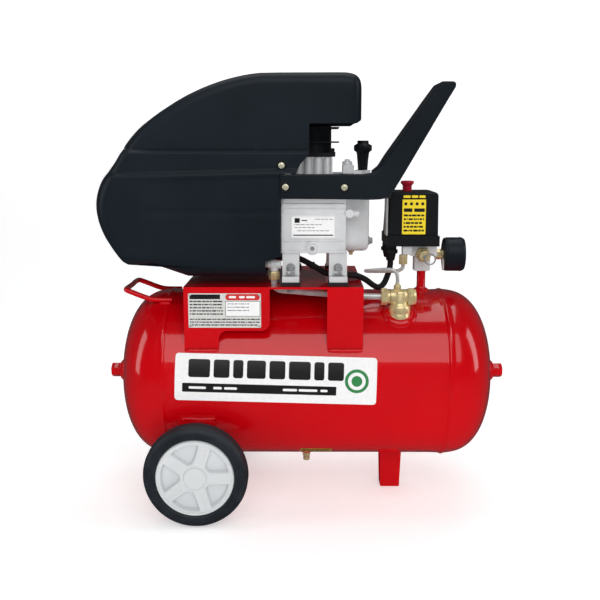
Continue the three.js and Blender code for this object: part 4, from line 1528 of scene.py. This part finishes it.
                y = depth(Vector((x, 0, z))) - inset - rim + sqrt(max(0.0, rim**2 - short**2))
                ring.append(Vector((x, -y, z)))
            near, far = ring[0].y, -ring[0].y
            swell = min(bulge, 0.22 * (high - z), 0.35 * (z - low))
            end_wall = [Vector((x0 - swell * (1 - (y / near) ** 2), y, z)) for y in
                        (far + (near - far) * i / 16 for i in range(1, 16))]
            rings.append(ring + [Vector((c.x, -c.y, c.z)) for c in reversed(ring)] + end_wall)
        return lofted(rings)

    def build_screws(self) -> None:
        """Cross-head screws in their dark recessed rings."""
        spots = {"shroud_screw_front": (-34.5, -94.9, 309.5), "handle_screw_left": (-29, -105.2, 281),
                 "handle_screw_right": (50.4, -105.2, 280.5)}
        for name, spot in spots.items():
            ring = turned([(4.4, 0), (7.4, 0), (7.2, 0.5), (6.2, 0.8), (4.6, 0.35)], 48, looped=True)
            self.shop.build(f"{name}_ring", ring.placed(*spot, Way.FRONT), BLACK, crease=60)
            turn = Matrix.Translation(spot) @ Way.FRONT.turn() @ Matrix.Rotation(0.5, 4, "Z")
            self.shop.build(name, pan_screw(4.3, 3.0).under(turn), ZINC,
                            cuts=[arm.under(turn) for arm in cross_slot(4.3, 3.0)], crease=50)
        back = Matrix.Translation((-34.5, 94.9, 309.5)) @ Way.BACK.turn()
        self.shop.build("shroud_screw_rear", pan_screw(4.3, 3.0).under(back), ZINC,
                        cuts=[arm.under(back) for arm in cross_slot(4.3, 3.0)], crease=50)


@dataclass
class Pump:
    """Crankcase, cover, cylinder, head, breather and everything bolted to them."""

    shop: Workshop
    x: float = 9.5
    plug: Place = (7.5, -85.0, 196.0)

    def build(self) -> None:
        """Makes the pump."""
        shop = self.shop
        self.build_case()
        self.build_cover()
        self.build_cylinder()
        self.build_breather()
        self.build_mounts()
        self.build_fittings()
        shop.dress(["crankshaft", "connecting_rod"], STEEL, 0.4)
        shop.dress(["piston"], ALUMINIUM, 0.4)
        shop.dress(["bearing_drive", "bearing_fan"], STEEL, 0.3)

    def build_case(self) -> None:
        """Extra ribs, bosses, plug, studs and joints of the crankcase."""
        shop = self.shop
        shop.dress(["crankcase"], CAST, 1.2)
        rib = lambda z, h, d, x0=-33, x1=52: block(x0, x1, -85 - d, -84, z - h / 2, z + h / 2)
        ribs = rib(262.5, 9, 1.6) + rib(256.8, 1.8, 2.6) + rib(247, 7, 1.4) + rib(206.5, 2.2,
                                                                                  1.4) + rib(191, 3, 1.8)
        shop.build("case_ribs", ribs, CAST, bevel=0.6)
        plug = turned([(3.2, 0), (9.6, 0), (9.6, 2.2), (8.8, 3.1), (7.4, 3.4), (7.2, 2.2), (5.6, 2.2),
                       (5.4, 4.2),
                       (4.4, 4.8), (3.2, 4.8)], 56, looped=True)
        shop.build("oil_plug_boss", plug.placed(*self.plug, Way.FRONT), CAST, crease=40)
        key = turned([(3.6, 0.2), (3.6, 3.9)], 6) + turned([(5.3, 0.4), (5.3, 2.6), (3.1, 2.8)], 40)
        shop.build("oil_plug", key.placed(*self.plug, Way.FRONT), STEEL, bevel=0.2)
        flange = block(-22, 53, -62.6, 62.6, 292.5, 294.1)
        shop.build("flange_gasket", flange, GREY_CAST, bevel=0.5)
        posts = Form()
        for x, r in ((-12, 6), (2, 5), (16, 6), (29, 5)):
            post = turned([(r * 0.7, 0), (r, 0.4), (r, 22), (r - 1.4, 23.6), (r * 0.7, 23.8)], 32)
            posts += post.placed(x, -36, 296) + post.placed(x, 36, 296)
        shop.build("neck_posts", posts, CAST, crease=45)
        lug = block(50, 66, -52, -30, 297, 309.5) + block(56, 78, -48, -26, 293, 301)
        shop.build("flange_lug", lug, CAST, bevel=1.6)
        cap = turned([(3, 0), (7, 0), (7, 4), (6.2, 5), (3, 5.1)], 28).placed(57, -41, 309.4)
        shop.build("lug_stud", cap + turned([(2, 4.8), (3.6, 5), (3.6, 7.4), (2, 7.8)],
                                            20).placed(57, -41, 309.4), CAST,
                   crease=45)

    def build_cover(self) -> None:
        """Bowl-shaped cover on the crankcase's end with its bolts and drain."""
        shop = self.shop
        shop.dress(["crankcase_cover"], GREY_CAST, 2.2)
        clamp = turned([(3, 0), (6.4, 0), (6.4, 8), (5.6, 9), (3, 9.1)], 32).placed(58.5, -79, 244, Way.FRONT)
        bar = turned([(2.6, 0), (4.4, 0.4), (4.4, 21), (3.6, 22), (2.6, 22)], 28).placed(50, -81, 244,
                                                                                         Way.RIGHT)
        shop.build("cover_clamp", clamp + bar, CAST, crease=45)
        for i, (y, z) in enumerate(((-50, 281), (50, 281), (-50, 203), (50, 203))):
            shop.build(f"cover_bolt_{i + 1}", bolt(8, 5.4, 6.2).placed(88, y, z, Way.RIGHT), STEEL,
                       bevel=0.25)
        sight = turned([(2, 0), (7.4, 0), (7.4, 1.6), (6.4, 2.2), (6, 3.4), (2, 3.4)], 36)
        shop.build("sight_glass_ring", sight.placed(88, 0, 205, Way.RIGHT), BRASS, crease=40)
        drain = hexagon(9, 0, 4, 0.7) + turned([(1.6, 3.8), (2.8, 4), (2.8, 7.5), (1.6, 7.8)], 24)
        shop.build("oil_drain", drain.placed(64, -30, 188, Way.DOWN), BRASS, bevel=0.2)

    def build_cylinder(self) -> None:
        """Cylinder with thin fins, and the head with its bolts."""
        shop = self.shop
        shop.dress(["cylinder"], IRON, 0.6)
        shop.dress(["cylinder_head"], GREY_CAST, 0.9)
        for i, (dx, dy) in enumerate(((-25, -25), (25, -25), (-25, 25), (25, 25))):
            shop.build(f"base_nut_{i + 1}", bolt(9, 6.5, 6.4).placed(self.x + dx, dy, 326), IRON, bevel=0.25)

    def build_breather(self) -> None:
        """Breather with a fluted collar and a small cap."""
        body = turned([(1, 0), (7, 0), (7.2, 4), (8, 14), (9, 23), (9.6, 25.4), (12.4, 27.6), (12.8, 29),
                       (12.8, 34.4),
                       (12.2, 35.4), (8.8, 37.4), (8.2, 38.2), (8.2, 41.4), (7.6, 42), (1, 42)],
                      96).warped(fluted(12, 0.03, 26, 35.6))
        self.shop.build("breather_moulded", body.placed(81.5, 0, 301.3), BLACK, stands_for=["breather_cap"],
                        crease=40)

    def build_mounts(self) -> None:
        """Rubber pads, bolts, washers and the nuts under them."""
        self.shop.dress([f"rubber_mount_{i}" for i in (1, 2, 3, 4)], RUBBER, 1.4)
        for i, (x, y) in enumerate(((-22.25, -91), (43.5, -91), (-22.25, 91), (43.5, 91))):
            head = bolt(10, 7.4, 8.4).placed(x, y, 157.8, Way.UP, 0.4 + i)
            stud = turned([(0.8, 7), (3, 7.2), (3, 9.6), (2.2, 10.2), (0.8, 10.3)], 24).placed(x, y, 157.8)
            self.shop.build(f"mount_bolt_{i + 1}", head + stud, STEEL, bevel=0.25)
            below = bolt(10, 6.6, 8.4).placed(x, y, 141.6, Way.DOWN, 0.2 + i)
            self.shop.build(f"mount_nut_{i + 1}", below, STEEL, bevel=0.25)

    def build_fittings(self) -> None:
        """Front bolts on the case's legs, as the leg faces carry."""
        for i, x in enumerate((-22.25, 43.5)):
            boss = turned([(2, 0), (6.4, 0), (6.4, 1.2), (5.8, 1.8), (2, 1.8)], 32).placed(x, -83.4, 168.5,
                                                                                           Way.FRONT)
            nut = hexagon(8.4, 1.6, 5.2, 0.8).placed(x, -83.4, 168.5, Way.FRONT, 0.3)
            self.shop.build(f"leg_bolt_{i + 1}", boss + nut, STEEL, bevel=0.2)


@dataclass
class CarryingHandle:
    """Moulded carrying handle: a flat front plate with a web and a grip behind it."""

    shop: Workshop

    def build(self) -> None:
        """Dresses the handle and adds the raised edge of its front plate."""
        self.shop.dress(["carrying_handle"], DARK, 1.6, 40)
        y = -105.0
        outer = [(60, 265.5), (95, 265.4), (106, 267.4), (113, 273), (122, 287), (150, 335), (184, 394),
                 (195, 412.4)]
        inner = [(60, 296.4), (86, 296.6), (96, 299.4), (108, 320), (136, 360), (163, 397.6), (178, 417.6)]
        for name, line in (("outer", outer), ("inner", inner)):
            path = smooth_path([(x, y + 0.7, z) for x, z in line], 8)
            self.shop.build(f"handle_rib_{name}", swept(path, 1.25, 12), DARK, crease=60)


@dataclass
class Lines:
    """Air lines, the check valve, the elbow and the motor lead."""

    shop: Workshop

    def build(self) -> None:
        """Makes every line and fitting."""
        shop = self.shop
        tube = [(-46, -75, 161), (-46, -75, 149), (-45, -75, 141), (-38, -74.5, 136), (-20, -73, 134),
                (29, -71, 129.5),
                (81, -70, 126), (98, -70, 125.5), (116, -70, 125.5)]
        shop.build("discharge_tube_bent", swept(smooth_path(tube, 12), 4.5, 32), ALUMINIUM,
                   stands_for=["discharge_tube"], crease=60)
        pipe = [(-54.3, -75, 172), (-60, -75, 172), (-67, -75, 176), (-70, -75, 186), (-70, -75, 240),
                (-70, -75, 300),
                (-68, -70, 330), (-60, -55, 362), (-48, -35, 383), (-36, -22, 387), (-23, -20, 387)]
        shop.build("head_pipe_bent", swept(smooth_path(pipe, 12), 4.5, 28), ALUMINIUM,
                   stands_for=["head_pipe"],
                   crease=60)
        bleed = [(128, -70, 135.6), (128, -70, 152), (126.5, -69.5, 159), (120, -68, 163.4), (105, -63, 163),
                 (91, -58, 161), (84.5, -51, 159.5), (91, -44, 158), (115, -38, 157.2), (133, -34, 157.5),
                 (139.5, -30.5, 161.5), (140, -30, 169)]
        shop.build("bleed_tube_bent", swept(smooth_path(bleed, 14), 2.5, 24), ALUMINIUM,
                   stands_for=["bleed_tube"],
                   crease=60)
        lead = [(-66, -53, 177), (-50, -51, 180), (-34, -50, 180.5), (-11, -43, 176), (8, -39, 166),
                (30, -39, 154),
                (50, -39, 151.2), (72, -37, 150.6), (86, -34, 144), (97, -30, 135.6), (105, -27.5, 132),
                (112, -25, 136),
                (118.5, -22, 149), (122, -20.4, 162), (122.4, -20, 172), (122.4, -20, 188)]
        shop.build("motor_lead_sheathed", swept(smooth_path(lead, 14), 4.3, 28), CABLE,
                   stands_for=["motor_lead"],
                   crease=60)
        tie = turned([(4.2, -1.6), (5.5, -1.6), (5.5, 1.6), (4.2, 1.6)], 28, looped=True)
        turn = Matrix.Translation((8, -39, 166)) @ Vector((0, 0, 1)).rotation_difference(
            Vector((20, -1, -11))).to_matrix().to_4x4()
        shop.build("lead_tie", tie.under(turn), CABLE, bevel=0.3)
        self.build_elbow()
        self.build_check_valve()

    def build_elbow(self) -> None:
        """Outlet elbow and its brass nut under the shroud's corner."""
        along = turned([(2, 0), (5.5, 0), (5.5, 3), (6.6, 3.4), (6.6, 9), (5.8, 10), (5.8, 18), (2, 18.4)],
                       40)
        down = turned([(2, -2), (5.8, -2), (5.8, 9), (2, 9.2)], 36).placed(-46, -75, 172, Way.DOWN)
        bulb = turned([(0.4, -6.4), (3.4, -5.6), (5.6, -3.2), (6.4, 0), (5.6, 3.2), (3.4, 5.6), (0.4, 6.4)],
                      36)
        body = along.placed(-54.2, -75, 172, Way.RIGHT) + down + bulb.placed(-46, -75, 172)
        self.shop.build("elbow_cast", body, CAST, stands_for=["discharge_elbow"], crease=40)
        nut = hexagon(13.4, 150.5, 162.5, 1.2).placed(-46, -75, 0)
        self.shop.build("elbow_nut_brass", nut, BRASS, bevel=0.3)

    def build_check_valve(self) -> None:
        """Forged brass check valve with its inlet nut, side port and cap."""
        x, y = 131.8, -70
        body = turned([(4, 92), (14.4, 92), (15.4, 93), (15.4, 101), (14.7, 102), (14.7, 103), (15.4, 104),
                       (15.4, 111.6), (14.2, 113.4), (12.2, 115.4), (11.6, 117), (11.6, 132.4), (10.6, 134),
                       (4, 134)],
                      56).placed(x, y, 0)
        port = turned([(3, 0), (10.6, 0), (10.6, 22.8), (9.8, 23.6), (3, 23.6)], 48).placed(118.4, y, 125.5,
                                                                                            Way.RIGHT)
        top = hexagon(9, 133.6, 142, 0.8).placed(128, y, 0) + turned([(2.1, 141.8), (3.4, 142), (3, 145),
                                                                      (2.1, 145.2)],
                                                                      28).placed(128, y, 0)
        self.shop.build("check_valve_forged", body + port + top, BRASS, stands_for=["check_valve_body"],
                        bevel=0.25)
        cap = hexagon(23.6, 0, 8.6, 1.6) + turned([(3, 8.4), (10.6, 8.6), (10.6, 11.4), (9.4, 12.2),
                                                   (3, 12.3)], 44)
        self.shop.build("valve_cap_brass", cap.placed(142.3, y, 125.5, Way.RIGHT, 0.3), BRASS,
                        stands_for=["check_valve_cap"], bevel=0.3)
        nut = hexagon(21.2, 0, 9.2, 1.4) + turned([(4.8, 9), (9.4, 9.2), (9.6, 12.6), (8.9, 13.1),
                                                   (4.8, 13.1)], 44)
        self.shop.build("inlet_nut_brass", nut.placed(105, y, 125.5, Way.RIGHT), BRASS,
                        stands_for=["inlet_nut"],
                        bevel=0.3)


@dataclass
class Control:
    """Pressure switch, manifold, relief valve and gauge."""

    shop: Workshop
    relief_at: Place = (169.5, -19.0, 179.5)
    gauge_x: float = 202.6
    gauge_z: float = 177.5

    def build(self) -> None:
        """Makes the control group."""
        self.build_switch()
        self.build_manifold()
        self.build_relief()
        self.build_gauge()

    def build_switch(self) -> None:
        """Switch cover, base, knob, glands and the back plate's edge."""
        shop = self.shop
        shop.dress(["switch_cover"], BLACK, 2.2, 30)
        shop.dress(["switch_base"], BLACK, 1.0, 30)
        shop.build("switch_plate", block(113.2, 115.9, -41.0, -12, 209, 262), ALUMINIUM, bevel=0.6)
        shop.build("cover_seam", block(115.4, 189.2, -41.2, 41.2, 206.6, 209.2), BLACK, bevel=0.7)
        knob = turned([(1, 0), (6.7, 0), (6.7, 17), (6.9, 18.6), (8.6, 20.4), (9.3, 21.2), (9.3, 24.2),
                       (8.8, 25),
                       (6, 25.3), (1, 25.4)], 72)
        knob = knob.warped(fluted(18, 0.035, 20.8))
        low = (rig.box("switch_knob")[0].z - shop.datum.z) / MM
        shop.build("switch_knob_moulded", knob.placed(147, 0, low), KNOB, "knob", ["switch_knob"],
                   crease=40)
        for name, y in (("motor", -20), ("mains", 20)):
            gland = (turned([(3.7, 0), (6, 0), (6.4, 2), (8, 9.6), (8.4, 10.6), (3.7, 10.6)], 40,
                            looped=True).placed(
                122.4, y, 171) + hexagon(18.4, 181, 187, 0.9).placed(122.4, y, 0)
                + turned([(4, 186.8), (8.6, 187), (8.6, 193), (4, 193.1)], 40).placed(122.4, y, 0))
            shop.build(f"gland_{name}_moulded", gland, BLACK, stands_for=[f"gland_{name}"], bevel=0.3)
        box = block(138, 152, -37, -23, 181, 193.1)
        shop.build("unloader_body", box, GREY_CAST, stands_for=["unloader_valve"], bevel=0.7)
        nut = hexagon(11.6, 166.5, 180.4, 1.1).placed(140, -30, 0, spin=0.3)
        shop.build("unloader_nut", nut, BRASS, bevel=0.3)

    def build_manifold(self) -> None:
        """Cast manifold under the switch, with its port's boss."""
        shop = self.shop
        shop.dress(["manifold"], CAST, 1.3, 30)
        ports = turned([(4, 0), (9.6, 0), (9.6, 2.4), (9, 3), (4, 3)], 40).placed(*self.relief_at, Way.FRONT)
        shop.build("manifold_port", ports, CAST, bevel=0.3)

    def build_relief(self) -> None:
        """Relief valve with its nut and the pull ring on its pin."""
        shop = self.shop
        body = turned([(3, 8), (6, 8), (6, 10), (8.3, 12), (8.3, 15), (7.9, 15.6), (8.3, 16.2), (8.3, 24),
                       (7, 26),
                       (3, 26)], 56)
        nut = hexagon(19.6, 0.3, 8.4, 1.2)
        shop.build("relief_valve_brass", (body + nut).placed(*self.relief_at, Way.FRONT), BRASS,
                   stands_for=["relief_valve_body"], bevel=0.3)
        pin = turned([(0.6, 10), (2.4, 10), (2.4, 30.4), (1.8, 31.4), (0.6, 31.5)],
                     28).placed(*self.relief_at, Way.FRONT)
        loop = turned(arc(7.5, 0, 1.1, 0, 345, 23), 72, looped=True).placed(176.1, -49.5, 176.0, Way.FRONT)
        shop.build("relief_ring_steel", pin + loop, STEEL, "relief", ["relief_ring"], crease=50)

    def build_gauge(self) -> None:
        """Pressure gauge: case, stem, dial with its scale, needle and window."""
        shop = self.shop
        x, z = self.gauge_x, self.gauge_z
        profile = [(4.6, 0), (22.6, 0), (23.8, 0.5), (24.4, 1.6), (24.4, 3.4), (25, 4), (25, 22.8),
                   (25.4, 23.6),
                   (25.4, 25.2), (24.6, 27), (23.6, 29.2), (22.8, 30), (21.6, 30), (21, 29.4), (21, 28.3),
                   (22, 28.2),
                   (23, 3), (4.6, 3)]
        shop.build("gauge_case_moulded", turned(profile, 96, looped=True).placed(x, 0, z, Way.RIGHT), DARK,
                   stands_for=["gauge_case"], crease=40)
        stem = (hexagon(14, -11.6, -3, 1.0) + turned([(2, -3.1), (5.6, -3), (5.6, -0.3), (2, -0.3)],
                                                     32)).placed(
            x, 0, z, Way.RIGHT)
        shop.build("gauge_stem_brass", stem, BRASS, stands_for=["gauge_stem"], bevel=0.3)
        dial = turned([(2.6, 4), (21.8, 4), (21.8, 5), (2.6, 5)], 72, looped=True).placed(x, 0, z, Way.RIGHT)
        shop.build("gauge_dial", dial, WHITE_FILM)
        ticks = Form()
        for i in range(31):
            a = radians(225 - 9 * i)
            inner, wide = (15.4, 0.34) if i % 5 == 0 else (17.4, 0.18)
            tick = block(inner, 19.6, -wide, wide, 5.1, 5.3)
            ticks += tick.under(Matrix.Translation((x, 0, z)) @ Way.RIGHT.turn() @ Matrix.Rotation(a, 4, "Z"))
        shop.build("gauge_scale", ticks, BLACK_INK)
        plate = turned([(3, -1.2), (8.8, -1.2), (9.2, -0.9), (9.2, -0.1), (3, -0.1)],
                       48).placed(x - 0.2, -4, z - 14.6, Way.RIGHT)
        shop.build("gauge_back_plate", plate, WHITE_FILM, bevel=0.3)
        shop.dress(["gauge_needle"], POINTER, 0.2)
        shop.dress(["gauge_lens"], LENS, 0.3)


@dataclass
class Drive:
    """Pieces inside the shroud, which stay as the CAD has them."""

    shop: Workshop

    def build(self) -> None:
        """Dresses the motor's pieces."""
        for nodes, finish in ((["rotor_core", "stator_core"], STEEL), (["end_bell"], CAST),
                              (["cooling_fan"], KNOB_DARK),
                              (["capacitor"], BLACK)):
            self.shop.dress(nodes, finish, 0.4)


@dataclass
class Studio:
    """Camera, floor sweep and lights."""

    shop: Workshop
    lens: float = 51.44
    camera_at: Place = (-2.05, -1267.01, 333.65)
    camera_tilt: float = 79.9
    camera_turn: float = 0.36

    def build(self) -> None:
        """Sets the whole stage."""
        self.sweep()
        self.lights()
        self.camera()
        bpy.context.scene.view_settings.view_transform = "Standard"

    def sweep(self) -> None:
        """Pale floor that curves up behind the object."""
        profile = [(-2.6, 0.0), (1.4, 0.0)]
        profile += [(1.4 + 0.9 * sin(t), 0.9 * (1 - cos(t))) for t in (pi / 2 * i / 14 for i in range(1, 15))]
        profile.append((2.3, 3.4))
        mesh = bpy.data.meshes.new("sweep")
        points = [(x, y, z) for y, z in profile for x in (-3.4, 3.4)]
        mesh.from_pydata(points, [], [(2 * i, 2 * i + 1, 2 * i + 3, 2 * i + 2)
                                      for i in range(len(profile) - 1)])
        floor = bpy.data.objects.new("sweep", mesh)
        bpy.context.scene.collection.objects.link(floor)
        mesh.shade_smooth()
        board = Board.blank("sweep_paper")
        paper = board.ramp(board.noise(40, 4), 0.3, 0.7)
        board.lay({"Base Color": board.blend(paper, (0.86, 0.86, 0.86), (0.9, 0.9, 0.9)), "Roughness": 0.9,
                   "Specular IOR Level": 0.0, "Emission Color": (1, 1, 1, 1), "Emission Strength": 0.42})
        mesh.materials.append(board.material)
        floor.visible_glossy = False
        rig.stage(floor)

    def lights(self) -> None:
        """Big soft box above the front, side strips, a top box and an unseen flat fill, in a dim room."""
        world = bpy.data.worlds.new("studio")
        world.use_nodes = True
        back = world.node_tree.nodes["Background"]
        back.inputs[0].default_value, back.inputs[1].default_value = (0.9, 0.95, 1.0, 1), 0.05
        bpy.context.scene.world = world
        for name, spot, size, power, aim, seen in (
                ("front_box", (0.2, -1.9, 2.05), (2.8, 1.9), 24, (0, 0, 0.3), True),
                ("left_strip", (-2.3, -0.5, 1.1), (0.7, 1.9), 9, (0, 0, 0.35), True),
                ("right_strip", (2.3, -0.4, 1.2), (0.7, 1.9), 11, (0, 0, 0.3), True),
                ("top_box", (0, 0.4, 2.4), (2.2, 1.4), 16, (0, 0, 0.3), True),
                ("flat_fill", (0.3, -3.2, 1.0), (2.6, 2.0), 46, (0, 0, 0.3), False)):
            data = bpy.data.lights.new(name, "AREA")
            data.shape, data.size, data.size_y, data.energy = "RECTANGLE", size[0], size[1], power
            lamp = bpy.data.objects.new(name, data)
            lamp.location = spot
            lamp.rotation_euler = (Vector(aim) - Vector(spot)).to_track_quat("-Z", "Y").to_euler()
            lamp.visible_glossy = seen
            bpy.context.scene.collection.objects.link(lamp)

    def camera(self) -> None:
        """Camera in front of the object, at the height of its shroud."""
        data = bpy.data.cameras.new("camera")
        data.lens, data.sensor_width = self.lens, 36
        camera = bpy.data.objects.new("camera", data)
        camera.location = self.shop.datum.at(Vector(self.camera_at))
        camera.rotation_euler = (radians(self.camera_tilt), 0, radians(self.camera_turn))
        bpy.context.scene.collection.objects.link(camera)
        bpy.context.scene.camera = camera


def write_sizes(before: object) -> None:
    """Writes the CAD model's bounds and the finished model's, in metres.
    """
    plain = lambda pair: [list(corner) for corner in pair]
    with open(SIZE_FILE, "w") as file:
        json.dump([plain(before), plain(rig.bounds())], file)


def main() -> None:
    """Builds every sub-assembly in order."""
    logging.basicConfig(level=logging.INFO)
    shop = Workshop(Datum.of_frame())
    Receiver(shop).build()
    Labels(shop).build()
    for name, way in (("front", Way.FRONT), ("rear", Way.BACK)):
        Wheel(shop, name, way).build()
    Pump(shop).build()
    Shrouds(shop).build()
    CarryingHandle(shop).build()
    Lines(shop).build()
    Control(shop).build()
    Drive(shop).build()
    Studio(shop).build()
    log.info("%d pieces made", shop.made)


if __name__ == "__main__":
    main()
    write_sizes(CAD_BOUNDS)
